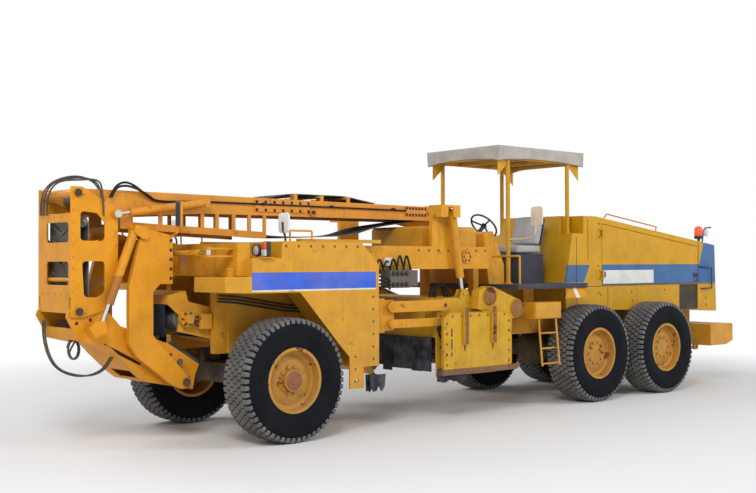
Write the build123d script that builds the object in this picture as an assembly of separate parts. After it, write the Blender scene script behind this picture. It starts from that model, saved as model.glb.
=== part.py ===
"""Six-wheel cold planer: a milling machine with a fold-over front conveyor.

X forward, Y left, Z up, ground at Z = 0, millimetres.  Every station (x) below is measured
from the front axle, and save() moves the machine so that the middle of its box lies on X = 0.
"""
from build123d import *
import math
import os

os.makedirs("parts", exist_ok=True)

# ---------------------------------------------------------------- driving dimensions
FRONT_AXLE_X = 3342.5        # where the front axle lies in the part's frame
WHEELBASE = 5273.0           # front axle to first rear axle
BOGIE_SPACING = 1602.0       # between the two rear axles
TRACK_HALF = 1032.0          # middle of a tyre from the machine's middle

TYRE_R = 674.0
TYRE_WIDTH = 440.0
BEAD_R = 338.0               # where the tyre sits on its rim
RIM_FLANGE_R = 356.0
RIM_WIDTH = 380.0
DISC_INSET = 95.0            # wheel disc behind the outer flange
HUB_R = 118.0
STUD_CIRCLE_R = 147.0
SPINDLE_R = 55.0
RUN_FIT = 0.05               # radial clearance of a turning fit
SEAT_GAP = 0.3               # curved faces that only lie against each other
MOVE_GAP = 8.0               # clear air between bodies that move past each other

KINGPIN_Y = 700.0
KINGPIN_R = 32.0

RAIL_IN = 420.0              # frame side members, inner and outer faces
RAIL_OUT = 520.0
RAIL_LOW = 950.0
RAIL_HIGH = 1250.0
BRIDGE_LOW = 1860.0          # beams over the milling drum
BRIDGE_HIGH = 2140.0
BRIDGE_OUT = 930.0
REAR_LEG = -4250.0           # back of the legs behind the drum
REAR_LEG_LENGTH = 250.0

BODY_SIDE = 1200.0           # outer face of the front body
BODY_NOSE = 874.0            # front of the low nose over the wheel
NOSE_LOW = 1632.0
BODY_STEP = 540.0            # front of the middle step that carries the lamps
BODY_FRONT = 160.0           # front of the full-height box
BODY_REAR = -1215.0
BODY_TOP = 2170.0
STEP_TOP = 1990.0
NOSE_TOP = 1795.0
ARCH_TOP = 1620.0
ARCH_REAR = -780.0
ARCH_SHOULDER = (-637.0, 1023.0)   # x, z where the arch starts to lean forward
LEG_FRONT = -900.0
SHEET = 20.0
LASHING_R = 28.0             # lashing eyes under the front body and the rear bumper

HOOD_SIDE = 800.0
HOOD_FRONT = -5250.0
HOOD_KINK = -5740.0
HOOD_REAR = -8860.0
HOOD_TOP = 2605.0
HOOD_TAIL = 2215.0
HOOD_FLOOR = 1270.0
HOOD_WALL = 40.0
DOOR_FRONT = -5880.0
DOOR_REAR = -8370.0
DOOR_LOW = 1600.0
DOOR_WALL = 36.0

DRUM_X = -2800.0
DRUM_Z = 950.0
DRUM_R = 310.0
TINE_TIP = 430.0             # reach of the cutting picks' tips
DRUM_HALF = 985.0
CUT_SIDE = 1060.0            # outer face of the drum housing's end walls
CUT_WALL = 30.0
CUT_LOW = 540.0
PLATE_WALL = 40.0
PLATE_GAP = 88.0             # between the arms and the side plates
ARM_LENGTH = 850.0           # milling unit's parallel arms
ARM_FRONT_X = -1500.0
ARM_Z = (1420.0, 1220.0)     # upper and lower arm
ARM_HALF = 30.0
ARM_GAP = 12.0               # between the housing's end wall and the arms
ARM_Y = CUT_SIDE + ARM_GAP + ARM_HALF
ARM_PIN_END = ARM_Y + ARM_HALF + 8.0
PLATE_SIDE = ARM_Y + ARM_HALF + PLATE_GAP + PLATE_WALL   # outer face of the sliding side plates
LIFT_TOP = (-2600.0, 2560.0) # x, z of the milling unit's lift cylinders
LIFT_FOOT = (-2768.0, 1560.0)
LIFT_Y = 1010.0

CONVEYOR_SIDE = 385.0        # link frame's side plates, outer faces
BOOM_SIDE = 361.0            # lower and upper boom's side plates, outer faces
BOOM_WALL = 18.0
BELT_HALF = 305.0
SWING_X = 800.0              # upright swing axis of the discharge conveyor
FOOT = (905.0, 665.0)        # x, z of the pin that the lower boom turns on
LOW_PIN = (2090.0, 1453.0)   # lower boom to link frame
TOP_PIN = (2103.0, 2655.0)   # link frame to upper boom
PIN_R = 32.0
ARM_IN = 425.0               # swing frame's plates, inner and outer faces
ARM_OUT = 485.0
CYLINDER_Y = 455.0           # plane of the conveyor's cylinders
CYLINDER_R = 48.0
ROD_R = 24.0
EYE_HALF = 28.0              # half the width of a cylinder's end eyes
PIN_PROUD = 2.0              # how far a rod's own pin stands out of its eye
EYE_GAP = 2.0                # side clearance between that pin and what it hangs on


# ---------------------------------------------------------------- helpers
def save(name, shape):
    """Write one node, moved from axle stations into the part's frame."""
    export_step(Pos(FRONT_AXLE_X, 0, 0) * shape, f"parts/{name}.step")


def joined(shapes):
    """The union of a list of shapes."""
    whole = shapes[0]
    for shape in shapes[1:]:
        whole = whole + shape
    return whole


def block(x0, x1, y0, y1, z0, z1):
    """A box between two corners."""
    size = (abs(x1 - x0), abs(y1 - y0), abs(z1 - z0))
    return Pos((x0 + x1) / 2, (y0 + y1) / 2, (z0 + z1) / 2) * Box(*size)


def slab(outline, y0, y1):
    """A side outline of (x, z) points, thick from y0 to y1."""
    face = make_face(Polyline(*[(x, y0, z) for x, z in outline], close=True))
    return extrude(face, amount=y1 - y0, dir=(0, 1, 0))


def soft_slab(outline, y0, y1, radius):
    """A slab whose corners are all rounded."""
    face = make_face(Polyline(*[(x, y0, z) for x, z in outline], close=True))
    return extrude(fillet(face.vertices(), radius), amount=y1 - y0, dir=(0, 1, 0))


def strip(route, thickness, half):
    """A bent sheet across the machine, along a route of (x, z) points that runs from front to back."""
    normals = []
    for (x0, z0), (x1, z1) in zip(route, route[1:]):
        length = math.hypot(x1 - x0, z1 - z0)
        normals.append(((z1 - z0) / length, (x0 - x1) / length))
    other_face = []
    for (x, z), before, after in zip(route, normals[:1] + normals, normals + normals[-1:]):
        mitre = thickness / (1 + before[0] * after[0] + before[1] * after[1])
        other_face.append((x + (before[0] + after[0]) * mitre, z + (before[1] + after[1]) * mitre))
    return slab(list(route) + other_face[::-1], -half, half)


def rod(a, b, radius):
    """A round bar from a to b."""
    way = Vector(*b) - Vector(*a)
    plane = Plane(origin=a, z_dir=way)
    return plane * Cylinder(radius, way.length, align=(Align.CENTER, Align.CENTER, Align.MIN))


def cross_pin(x, z, radius, y0, y1):
    """A round bar across the machine."""
    return rod((x, y0, z), (x, y1, z), radius)


def both(shape):
    """The shape and its mirror image on the other side, as one shape."""
    return shape + mirror(shape, about=Plane.XZ)


def turned(outline):
    """A solid of revolution about Y from (radius, y) points."""
    face = make_face(Polyline(*[(r, y, 0) for r, y in outline], close=True))
    return revolve(face, axis=Axis.Y)


# ---------------------------------------------------------------- wheels and axles
AXLES = {"front": 0.0, "middle": -WHEELBASE, "rear": -WHEELBASE - BOGIE_SPACING}
HUB_REACH = {"front": 170.0, "middle": 110.0, "rear": 110.0}   # hub cap past the tyre's middle
HUB_BACK = 120.0             # hub's inner end behind the tyre's middle
CAP_WALL = 25.0


TYRE_SIDES = 40
# radius, distance from the tyre's middle
SIDEWALL = (
    (TYRE_R * 0.78, TYRE_WIDTH / 2),
    (TYRE_R * 0.93, TYRE_WIDTH / 2 - 12),
    (TYRE_R * 0.988, TYRE_WIDTH / 2 - 42),
    (TYRE_R, TYRE_WIDTH / 2 - 110),
)
BEAD_INSET = 54.0            # the bead lies this far inside the tyre's widest place


def faceted(sections):
    """A ruled body round the Y axis through (radius, y) sections of many sides."""
    rings = []
    for radius, y in sections:
        rings.append(Plane(origin=(0, y, 0), z_dir=(0, 1, 0)) * RegularPolygon(radius, TYRE_SIDES))
    return loft(rings, ruled=True)


def make_tyre():
    """One tyre about the origin, round the Y axis, with its sidewalls dished towards the bead."""
    half = TYRE_WIDTH / 2
    back = [(r, -y) for r, y in SIDEWALL]
    rubber = faceted(back + list(reversed(SIDEWALL)))
    dish = faceted([(RIM_FLANGE_R + 5, half - BEAD_INSET), (SIDEWALL[0][0] - 6, half + 1)])
    corner = (BEAD_R + SEAT_GAP) / math.cos(math.pi / TYRE_SIDES)
    bore = faceted([(corner, -half), (corner, half)])
    return rubber - dish - mirror(dish, about=Plane.XZ) - bore


def make_rim(reach):
    """One rim with its dished disc, studs, hub and cap, its outer face towards +Y."""
    half = RIM_WIDTH / 2
    disc = half - DISC_INSET
    barrel = turned([
        (RIM_FLANGE_R, half), (RIM_FLANGE_R, half - 20), (BEAD_R, half - 22),
        (BEAD_R, -half + 22), (RIM_FLANGE_R, -half + 20), (RIM_FLANGE_R, -half),
        (BEAD_R - 16, -half), (BEAD_R - 22, half - 60), (BEAD_R - 16, half),
    ])
    plate = turned([
        (BEAD_R - 12, disc + 8), (BEAD_R - 60, disc - 12), (190, disc + 14), (60, disc + 14),
        (60, disc - 6), (190, disc - 6), (BEAD_R - 60, disc - 32), (BEAD_R - 12, disc - 14),
    ])
    hub = rod((0, -HUB_BACK, 0), (0, reach, 0), HUB_R)
    studs = []
    for i in range(10):
        a = math.radians(36 * i)
        x = STUD_CIRCLE_R * math.cos(a)
        z = STUD_CIRCLE_R * math.sin(a)
        studs.append(extrude(Plane(origin=(x, disc, z), z_dir=(0, 1, 0)) * RegularPolygon(18, 6), amount=40))
    bore = rod((0, -HUB_BACK, 0), (0, reach - CAP_WALL, 0), SPINDLE_R + RUN_FIT)
    return joined([barrel, plate, hub] + studs) - bore


def make_wheels():
    """Six tyres and six rims."""
    rubber = make_tyre()
    for axle, station in AXLES.items():
        steel = make_rim(HUB_REACH[axle])
        for side, turn, y in (("left", 0, TRACK_HALF), ("right", 180, -TRACK_HALF)):
            place = Pos(station, y, TYRE_R) * Rot(0, 0, turn)
            save(f"tyre_{axle}_{side}", place * rubber)
            save(f"rim_{axle}_{side}", place * steel)


FORK_JAW = 92.0              # half the height between the front axle's fork ears
FORK_EAR = 58.0
FORK_WEB = (130.0, 95.0)     # the fork's web, inside the kingpin
FORK_TIP = 62.0              # the ears' ends, outside it


def make_front_axle():
    """Beam with its fork ends and saddles, and two steering knuckles."""
    low = TYRE_R - FORK_JAW - FORK_EAR
    high = TYRE_R + FORK_JAW + FORK_EAR
    web_in = KINGPIN_Y - FORK_WEB[0]
    web_out = KINGPIN_Y - FORK_WEB[1]
    beam = block(-110, 110, -web_out, web_out, TYRE_R - 110, TYRE_R + 110)
    fork = block(-75, 75, web_in, web_out, low, high)
    for z in (low, TYRE_R + FORK_JAW):
        fork = fork + block(-75, 75, web_in, KINGPIN_Y + FORK_TIP, z, z + FORK_EAR)
    fork = fork - Pos(0, KINGPIN_Y, TYRE_R) * Cylinder(KINGPIN_R + RUN_FIT, 400)
    saddle = block(-110, 110, RAIL_IN, RAIL_OUT, TYRE_R + 110, RAIL_LOW)
    save("front_axle", beam + both(fork + saddle))

    tip = TRACK_HALF + HUB_REACH["front"] - CAP_WALL - 6
    root = TRACK_HALF - HUB_BACK - 6
    knuckle = joined([
        block(-55, 55, KINGPIN_Y - 60, KINGPIN_Y + 75, TYRE_R - FORK_JAW + 2, TYRE_R + FORK_JAW - 2),
        Pos(0, KINGPIN_Y, TYRE_R) * Cylinder(KINGPIN_R, 2 * (FORK_JAW + FORK_EAR) + 20),
        cross_pin(0, TYRE_R, 85, KINGPIN_Y + 60, root),
        cross_pin(0, TYRE_R, SPINDLE_R, root - 5, tip),
        block(-240, -50, KINGPIN_Y - 15, KINGPIN_Y + 25, TYRE_R - 40, TYRE_R),
    ])
    save("steering_knuckle_left", knuckle)
    save("steering_knuckle_right", mirror(knuckle, about=Plane.XZ))


def make_rear_axles():
    """Two driven axles on walking beams, the beams on a cross shaft under the frame."""
    tip = TRACK_HALF + HUB_REACH["rear"] - CAP_WALL - 6
    root = TRACK_HALF - HUB_BACK - 6
    pieces = []
    for station in (AXLES["middle"], AXLES["rear"]):
        pieces.append(cross_pin(station, TYRE_R, 105, -root, root))
        pieces.append(cross_pin(station, TYRE_R, SPINDLE_R, -tip, tip))
        pieces.append(Pos(station, 0, TYRE_R) * Sphere(240))
    middle = (AXLES["middle"] + AXLES["rear"]) / 2
    pieces.append(both(block(AXLES["rear"] - 140, AXLES["middle"] + 140, 560, 660, TYRE_R - 90, TYRE_R + 90)))
    pieces.append(cross_pin(middle, TYRE_R, 80, -660, 660))
    pieces.append(both(block(middle - 150, middle + 150, RAIL_IN, RAIL_OUT, TYRE_R - 110, RAIL_LOW)))
    save("rear_axles", joined(pieces))


# ---------------------------------------------------------------- frame and bodies
LUG_Z = ((1800.0, 1850.0), (2100.0, 2150.0))   # front beam's lugs for the swing pin
SWING_PIN_R = 45.0
SWING_CYLINDER_Z = 2050.0
SWING_CYLINDER_X = 950.0
SWING_CYLINDER_Y = (200.0, 1000.0)             # eye on the swing frame, rod's eye on the frame
FRONT_BEAM = (500.0, 660.0)
FRONT_BEAM_HALF = 1100.0
FRONT_BEAM_Z = (1800.0, 2150.0)
CARRIER_Z = (1120.0, 1520.0)                   # cross boxes behind the front legs, for the arms
ARM_EAR_OUT = ARM_Y - ARM_HALF - 7.0
ARM_PIN_R = 30.0
TOWER_IN = 875.0                               # lift towers' inner face, clear of the swinging boom
TOWER_EAR = 68.0                               # outer ear from the cylinder's plane
BRIDGE_HUB = (-2919.0, 2014.0)                 # x, z of the round boss on the bridge's side
FLOOR_LOW = 1590.0                             # underside of the operator's floor
FLOOR_HIGH = 1650.0


def make_main_frame():
    """Side members: low under the front body, over the drum as a bridge, low again behind."""
    rear_end = HOOD_REAR + 300
    leg_front = REAR_LEG + REAR_LEG_LENGTH
    # x0, x1, y0, y1, z0, z1 of the left side's members
    members = joined([block(*row) for row in (
        (-1170, 400, RAIL_IN, RAIL_OUT, RAIL_LOW, RAIL_HIGH),
        (-1170, LEG_FRONT, RAIL_IN, RAIL_OUT, RAIL_LOW, BRIDGE_HIGH),
        (-3580, LEG_FRONT, RAIL_IN, RAIL_OUT, BRIDGE_LOW, BRIDGE_HIGH),
        (-3350, BODY_REAR, RAIL_OUT, BRIDGE_OUT, BRIDGE_LOW, BRIDGE_HIGH),
        (-3580, -3480, RAIL_IN, RAIL_OUT, 1310, BRIDGE_HIGH),
        (REAR_LEG, -3480, RAIL_IN, RAIL_OUT, 1310, FLOOR_LOW),
        (REAR_LEG, leg_front, RAIL_IN, RAIL_OUT, RAIL_LOW, FLOOR_LOW),
        (rear_end, REAR_LEG, RAIL_IN, RAIL_OUT, RAIL_LOW, RAIL_HIGH),
        (300, 560, RAIL_IN, RAIL_OUT, RAIL_LOW, FRONT_BEAM_Z[0]),
    )])
    # x0, x1, z0, z1 of the cross members
    crosses = joined([block(x0, x1, -RAIL_IN, RAIL_IN, z0, z1) for x0, x1, z0, z1 in (
        (-1170, -950, 1900, 2100), (-3580, -3480, 1900, 2120), (REAR_LEG, leg_front, 1320, 1560),
        (-6900, -6750, 980, 1220), (rear_end, rear_end + 150, 970, 1230),
    )])
    front_beam = block(FRONT_BEAM[0], FRONT_BEAM[1], -FRONT_BEAM_HALF, FRONT_BEAM_HALF, *FRONT_BEAM_Z)
    lugs = []
    for z0, z1 in LUG_Z:
        lug = block(650, SWING_X, -100, 100, z0, z1) + Pos(SWING_X, 0, (z0 + z1) / 2) * Cylinder(100, z1 - z0)
        lugs.append(lug - Pos(SWING_X, 0, (z0 + z1) / 2) * Cylinder(SWING_PIN_R + RUN_FIT, 100))
    horn_y = SWING_CYLINDER_Y[1]
    horns = []
    for z0 in (SWING_CYLINDER_Z - 50, SWING_CYLINDER_Z + 30):
        horns.append(block(650, SWING_CYLINDER_X + 35, horn_y - 35, horn_y + 35, z0, z0 + 20))
    for z in (SWING_CYLINDER_Z - 54, SWING_CYLINDER_Z + 54):
        horns.append(Pos(SWING_CYLINDER_X, horn_y, z) * Cylinder(24, 10))
    carrier = block(-1420, -1150, RAIL_IN, ARM_EAR_OUT, *CARRIER_Z)
    ear = block(-1570, -1410, ARM_EAR_OUT - 25, ARM_EAR_OUT, 1140, 1500)
    pins = [cross_pin(ARM_FRONT_X, z, ARM_PIN_R, ARM_EAR_OUT - 20, ARM_PIN_END) for z in ARM_Z]
    arm_feet = both(joined([carrier, ear] + pins))
    lift_x, lift_z = LIFT_TOP
    outer = LIFT_Y + TOWER_EAR
    tower = joined([
        block(lift_x - 60, lift_x + 270, TOWER_IN, BRIDGE_OUT, BRIDGE_HIGH - 5, lift_z + 70),
        block(lift_x - 60, lift_x + 270, TOWER_IN, outer + 17, lift_z + 66, lift_z + 90),
        block(lift_x - 60, lift_x + 60, outer, outer + 17, lift_z - 60, lift_z + 70),
        block(lift_x + 150, lift_x + 270, BRIDGE_OUT - 5, outer + 17, lift_z - 60, lift_z + 70),
        cross_pin(lift_x, lift_z, 25, BRIDGE_OUT - 10, outer + 7),
    ])
    hub_x, hub_z = BRIDGE_HUB
    tower = tower + cross_pin(hub_x, hub_z, 80, BRIDGE_OUT - 5, BRIDGE_OUT + 30)
    towers = both(tower)
    save("main_frame", joined([both(members), crosses, front_beam] + lugs + horns + [arm_feet, towers]))


def make_front_body():
    """Welded front body: a box over each front wheel, a leg behind it and a deck between."""
    leg_low = 760.0
    toe_low = 520.0
    toe_front = BODY_REAR + 230
    core_arch = 1120.0           # the arch is wider inside, where the wheel steers
    core_lean = -320.0
    shoulder = [
        (520, ARCH_TOP), (BODY_NOSE, NOSE_LOW), (BODY_NOSE, NOSE_TOP), (BODY_STEP, NOSE_TOP),
        (BODY_STEP, STEP_TOP), (BODY_FRONT, STEP_TOP), (BODY_FRONT, BODY_TOP),
        (BODY_REAR + 260, BODY_TOP), (BODY_REAR, BODY_TOP - 250),
    ]
    foot = [
        (BODY_REAR, leg_low), (toe_front, leg_low), (toe_front, toe_low), (ARCH_REAR, toe_low),
        (ARCH_REAR, 880), ARCH_SHOULDER, (-89, ARCH_TOP),
    ]
    core_foot = [
        (BODY_REAR, leg_low), (LEG_FRONT, leg_low), (LEG_FRONT, core_arch), (ARCH_REAR, core_arch),
        (core_lean, ARCH_TOP),
    ]
    inner = BODY_SIDE - SHEET
    deck_rail = block(BODY_REAR - 185, -210, 960, 1030, BODY_TOP - 5, BODY_TOP + 36)
    filler_cap = Pos(676, 1000, (NOSE_TOP + 1856) / 2) * Cylinder(46, 1856 - NOSE_TOP + 4)
    side = joined([
        slab(shoulder + foot, inner, BODY_SIDE),
        slab(shoulder + core_foot, 600, inner),
        block(LEG_FRONT, BODY_FRONT, RAIL_OUT, 601, ARCH_TOP, BODY_TOP),
        block(LEG_FRONT, 400, RAIL_OUT, RAIL_OUT + SHEET, RAIL_LOW, ARCH_TOP + 1),
        deck_rail,
        filler_cap,
    ])
    side = side - block(FRONT_BEAM[0], FRONT_BEAM[1], 0, FRONT_BEAM_HALF, FRONT_BEAM_Z[0], FRONT_BEAM_Z[1])
    side = side - block(BODY_REAR - 1, -1150, RAIL_OUT, ARM_EAR_OUT, CARRIER_Z[0], CARRIER_Z[1])
    side = side - cross_pin((toe_front + ARCH_REAR) / 2, 610, LASHING_R, inner - 10, BODY_SIDE + 10)
    deck = block(LEG_FRONT, BODY_FRONT, -RAIL_OUT, RAIL_OUT, BODY_TOP - SHEET, BODY_TOP)
    save("front_body", both(side) + deck)


TANK = (-3300.0, -2343.0)    # rear and front of the tank on the bridge
TANK_SIDE = (-230.0, 740.0)
TANK_TOP = 2400.0


def make_water_tank():
    """Tank with rounded edges on the bridge behind the front body."""
    rear, front = TANK
    tank = block(rear, front, *TANK_SIDE, BRIDGE_HIGH, TANK_TOP)
    across = tank.edges().filter_by(Axis.Y).group_by(Axis.Z)[-1]
    along = tank.edges().filter_by(Axis.X).group_by(Axis.Z)[-1]
    save("water_tank", fillet(across + along, 45))


def make_primary_conveyor():
    """Trough from the drum to the front, with the belt on its two end rollers."""
    tail = Vector(-1840, 0, 700)
    head = Vector(872, 0, 1340)
    way = (head - tail).normalized()
    up = Vector(-way.Z, 0, way.X)

    def at(end, along, height):
        spot = end + way * along + up * height
        return spot.X, spot.Z

    wall = slab([at(tail, -60, -150), at(head, 60, -150), at(head, 60, 190), at(tail, 300, 190)], 385, 400)
    belly = strip([at(head, -400, -150), at(tail, 400, -150)], 12, 386)
    stays = []
    for along in (900, 2100):
        x, z = at(tail, along, 0)
        stays.append(block(x - 50, x + 50, 399, RAIL_IN, z - 40, z + 40))
    cheek = slab([(800, 1450), (860, 1640), (1060, 1600), (1080, 1500), (940, 1380)], 385, 400)
    manifold = block(575, 722, 399, 480, 1225, 1390)
    motor = cross_pin(head.X, head.Z, 85, 399, 470) + cross_pin(head.X, head.Z, 50, 465, 520)
    cover = strip([(1080, 1500), (1060, 1590), (860, 1630), (800, 1450)], 10, 386)
    save("primary_conveyor", both(joined([wall, cheek, motor, manifold] + stays)) + belly + cover)
    rollers = []
    for end in (tail, head):
        rollers.append(cross_pin(end.X, end.Z, 108, -340, 340))
        rollers.append(cross_pin(end.X, end.Z, 30, -385 + SEAT_GAP, 385 - SEAT_GAP))
    top = slab([at(tail, 0, 107), at(head, 0, 107), at(head, 0, 119), at(tail, 0, 119)], -330, 330)
    back = slab([at(tail, 0, -119), at(head, 0, -119), at(head, 0, -107), at(tail, 0, -107)], -330, 330)
    save("primary_belt", joined(rollers + [top, back]))


HINGE_Z = (1760.0, 2360.0)
LEDGE_REAR = -5460.0         # ledges beside the hood's front, which carry the canopy's rear posts
LEDGE_IN = 560.0
LEDGE_Z = 2350.0
REAR_EYE_Y = 700.0
HINGE_OUT = 24.0             # hinge pin's middle outside the hood's side
HINGE_PIN_R = 9.0


GRILLE_LENGTH = 520.0
GRILLE_LOW = 1190.0
DOOR_HEADER = 82.0           # from the roof's slope down to the doorway


def roof_z(x):
    """Height of the hood's sloping roof at a station."""
    return HOOD_TOP + (x - HOOD_KINK) * (HOOD_TOP - HOOD_TAIL) / (HOOD_KINK - HOOD_REAR)


def make_hood():
    """Hollow hood with its two doors, and the grilles, engine and counterweight."""
    tail_low = 1140.0
    outline = [
        (-5060, HOOD_FLOOR), (-5060, 1650), (HOOD_FRONT + 40, 2350), (HOOD_FRONT, HOOD_TOP),
        (HOOD_KINK, HOOD_TOP), (HOOD_REAR, HOOD_TAIL), (HOOD_REAR - 40, tail_low), (-8250, 1180),
    ]
    w = HOOD_WALL
    cavity = [
        (-5060 - w, HOOD_FLOOR - 90), (-5060 - w, 1650), (HOOD_FRONT, 2350), (HOOD_FRONT - w, HOOD_TOP - w),
        (HOOD_KINK, HOOD_TOP - w), (HOOD_REAR + w, HOOD_TAIL - w), (HOOD_REAR, tail_low - 30), (-8250, 1080),
    ]
    notch = both(block(LEDGE_REAR, -5000, LEDGE_IN, HOOD_SIDE + 10, LEDGE_Z, HOOD_TOP + 10))
    over = both(block(LEDGE_REAR - w, -5000, LEDGE_IN - w, HOOD_SIDE + 10, LEDGE_Z - w, HOOD_TOP + 10))
    shell = slab(outline, -HOOD_SIDE, HOOD_SIDE) - notch
    shell = shell - (slab(cavity, -HOOD_SIDE + w, HOOD_SIDE - w) - over)
    front_top = roof_z(DOOR_FRONT) - DOOR_HEADER
    rear_top = roof_z(DOOR_REAR) - DOOR_HEADER
    doorway = [(DOOR_FRONT, DOOR_LOW), (DOOR_FRONT, front_top), (DOOR_REAR, rear_top), (DOOR_REAR, DOOR_LOW)]
    shell = shell - slab(doorway, -HOOD_SIDE - 10, HOOD_SIDE + 10)
    grille = (DOOR_REAR, DOOR_REAR + GRILLE_LENGTH)
    shell = shell - block(*grille, -HOOD_SIDE - 10, HOOD_SIDE + 10, GRILLE_LOW, DOOR_LOW - 15)
    shell = shell - block(HOOD_REAR - 90, HOOD_REAR + 90, -560, 560, 1300, 2080)
    g = MOVE_GAP
    panel = [
        (DOOR_FRONT - g, DOOR_LOW + g), (DOOR_FRONT - g, front_top - g - 2),
        (DOOR_REAR + g, rear_top - g), (DOOR_REAR + g, DOOR_LOW + g),
    ]
    pin_y = HOOD_SIDE + HINGE_OUT
    door = slab(panel, HOOD_SIDE - DOOR_WALL, HOOD_SIDE)
    hinge_parts = []
    for z in HINGE_Z:
        leaf = block(DOOR_FRONT - 90, DOOR_FRONT - g, HOOD_SIDE, HOOD_SIDE + 8, z - 40, z + 40)
        neck = block(DOOR_FRONT - 16, DOOR_FRONT + 4, HOOD_SIDE + 2, pin_y, z - 40, z + 40)
        eye = Pos(DOOR_FRONT, pin_y, z) * Cylinder(18, 80)
        bore = Pos(DOOR_FRONT, pin_y, z) * Cylinder(HINGE_PIN_R + RUN_FIT, 90)
        door = door + leaf + neck + eye - bore
        hinge_parts.append(Pos(DOOR_FRONT, pin_y, z) * Cylinder(HINGE_PIN_R, 130))
        for low in (z - 65, z + 46):
            ear = block(DOOR_FRONT + 14, DOOR_FRONT + 60, HOOD_SIDE - 5, pin_y, low, low + 19)
            ear = ear + Pos(DOOR_FRONT, pin_y, low + 9.5) * Cylinder(18, 19)
            ear = ear + block(DOOR_FRONT, DOOR_FRONT + 60, pin_y - 18, pin_y, low, low + 19)
            hinge_parts.append(ear)
    save("engine_door_left", door)
    save("engine_door_right", mirror(door, about=Plane.XZ))
    save("engine_hood", shell + both(joined(hinge_parts)))
    foot_half = RAIL_OUT - 20
    feet = [block(x - 80, x + 80, -foot_half, foot_half, RAIL_HIGH, RAIL_HIGH + 60) for x in (-7800, -6200)]
    save("engine_block", joined([block(-8000, -6000, -400, 400, RAIL_HIGH, 2080)] + feet))
    side_mesh = block(*grille, HOOD_SIDE - 30, HOOD_SIDE - 14, GRILLE_LOW, DOOR_LOW - 15)
    rear_mesh = block(HOOD_REAR - 12, HOOD_REAR + 4, -560, 560, 1300, 2080)
    save("radiator_grilles", both(side_mesh) + rear_mesh)
    tail = HOOD_REAR - 30
    bumper = [(tail + 640, 620), (tail + 640, RAIL_LOW), (tail, RAIL_LOW), (tail, 680), (tail + 190, 620)]
    eye_x = tail + 450
    eye_z = 585
    eye = [
        (eye_x - 80, eye_z + 55), (eye_x + 80, eye_z + 55),
        (eye_x + 50, eye_z - 55), (eye_x - 50, eye_z - 55),
    ]
    eye = slab(eye, REAR_EYE_Y - 15, REAR_EYE_Y + 15)
    eye = eye - cross_pin(eye_x, eye_z, LASHING_R, REAR_EYE_Y - 20, REAR_EYE_Y + 20)
    save("rear_bumper", slab(bumper, -1100, 1100) + both(eye))


POST_Y = 630.0
POST_R = 30.0
POST_FRONT = -4050.0
POST_REAR = -5310.0
CANOPY_BAR_Z = 3370.0
CANOPY_TOP = 3530.0
CANOPY_WALL = 8.0
STEP_GAP = 109.0             # between the middle tyre and the step box
STEP_REAR = -WHEELBASE + TYRE_R + STEP_GAP
STEP_BOX = (STEP_REAR, STEP_REAR + 540.0, 760.0, 1180.0, 1190.0, 1410.0)
LADDER = (STEP_REAR + 80.0, STEP_REAR + 430.0)       # stations of the ladder's two rails
TREAD_PLATE = (-5000.0, -4060.0, -585.0, -20.0)      # x and y of the plate where the operator stands


def make_station():
    """Operator's platform, console, seat, canopy and ladders."""
    step = block(*STEP_BOX)
    pieces = [
        block(-5055, -3620, -1190, 1190, FLOOR_LOW, FLOOR_HIGH),
        both(step),
        both(block(STEP_REAR + 190, STEP_REAR + 390, 780, 860, STEP_BOX[5] - 10, FLOOR_LOW + 10)),
        block(*TREAD_PLATE, FLOOR_HIGH - 1, FLOOR_HIGH + 8),
        block(-4930, -4420, 10, 500, FLOOR_HIGH - 1, 2060),
    ]
    save("operator_platform", joined(pieces))
    rails = []
    for x in LADDER:
        rails.append(rod((x, 1150, 1210), (x, 1215, 570), 14))
    for z in (600, 800, 1000):
        y = 1215 - (z - 570) * 65 / 640
        rails.append(rod((LADDER[0], y, z), (LADDER[1], y, z), 11))
    save("ladders", both(joined(rails) - step))
    console = slab([
        (-3700, FLOOR_HIGH), (-3600, 2320), (-3780, 2360), (-4000, 1900), (-4000, FLOOR_HIGH),
    ], -600, 600)
    face = Plane(origin=(-3975, 250, 2445), z_dir=(-200, 0, 180))
    column = rod((-3740, 250, 2230), (-3975, 250, 2445), 28)
    wheel = [face * Torus(200, 13), face * Cylinder(40, 30)]
    for turn in (0, 120, 240):
        wheel.append(face * Rot(0, 0, turn) * Pos(105, 0, 0) * Box(190, 22, 12))
    save("control_console", joined([console, column] + wheel))
    cushion = block(-4900, -4380, 5, 505, 2060 + SEAT_GAP, 2190)
    back = slab([(-4880, 2190), (-4760, 2190), (-4860, 2600), (-4960, 2600)], 20, 490)
    save("seat_cushions", cushion + back)
    posts = []
    for x, foot in ((POST_FRONT, FLOOR_HIGH), (POST_REAR, LEDGE_Z)):
        posts.append(both(rod((x, POST_Y, foot), (x, POST_Y, CANOPY_BAR_Z), POST_R)))
    half = 22.0
    ends = (-3850.0, -5560.0)
    z0 = CANOPY_BAR_Z - half
    z1 = CANOPY_BAR_Z + half
    ring = [both(block(ends[1] - half, ends[0] + half, POST_Y - half, POST_Y + half, z0, z1))]
    for x in (ends[0], -4420.0, -4990.0, ends[1]):
        ring.append(block(x - half, x + half, -POST_Y, POST_Y, z0, z1))
    roof = CANOPY_TOP - CANOPY_WALL
    for x in ends:
        ring.append(both(block(x - half, x + half, POST_Y - half, POST_Y + half, z0, roof)))
    save("canopy_frame", joined(posts + ring))
    w = CANOPY_WALL
    outer = block(-5610, -3800, -694, 694, 3310, CANOPY_TOP)
    save("canopy_cover", outer - block(-5610 + w, -3800 - w, -694 + w, 694 - w, 3300, CANOPY_TOP - w))


LAMP_X = BODY_FRONT + 160.0      # back of the headlamps on the front body's step


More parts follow.
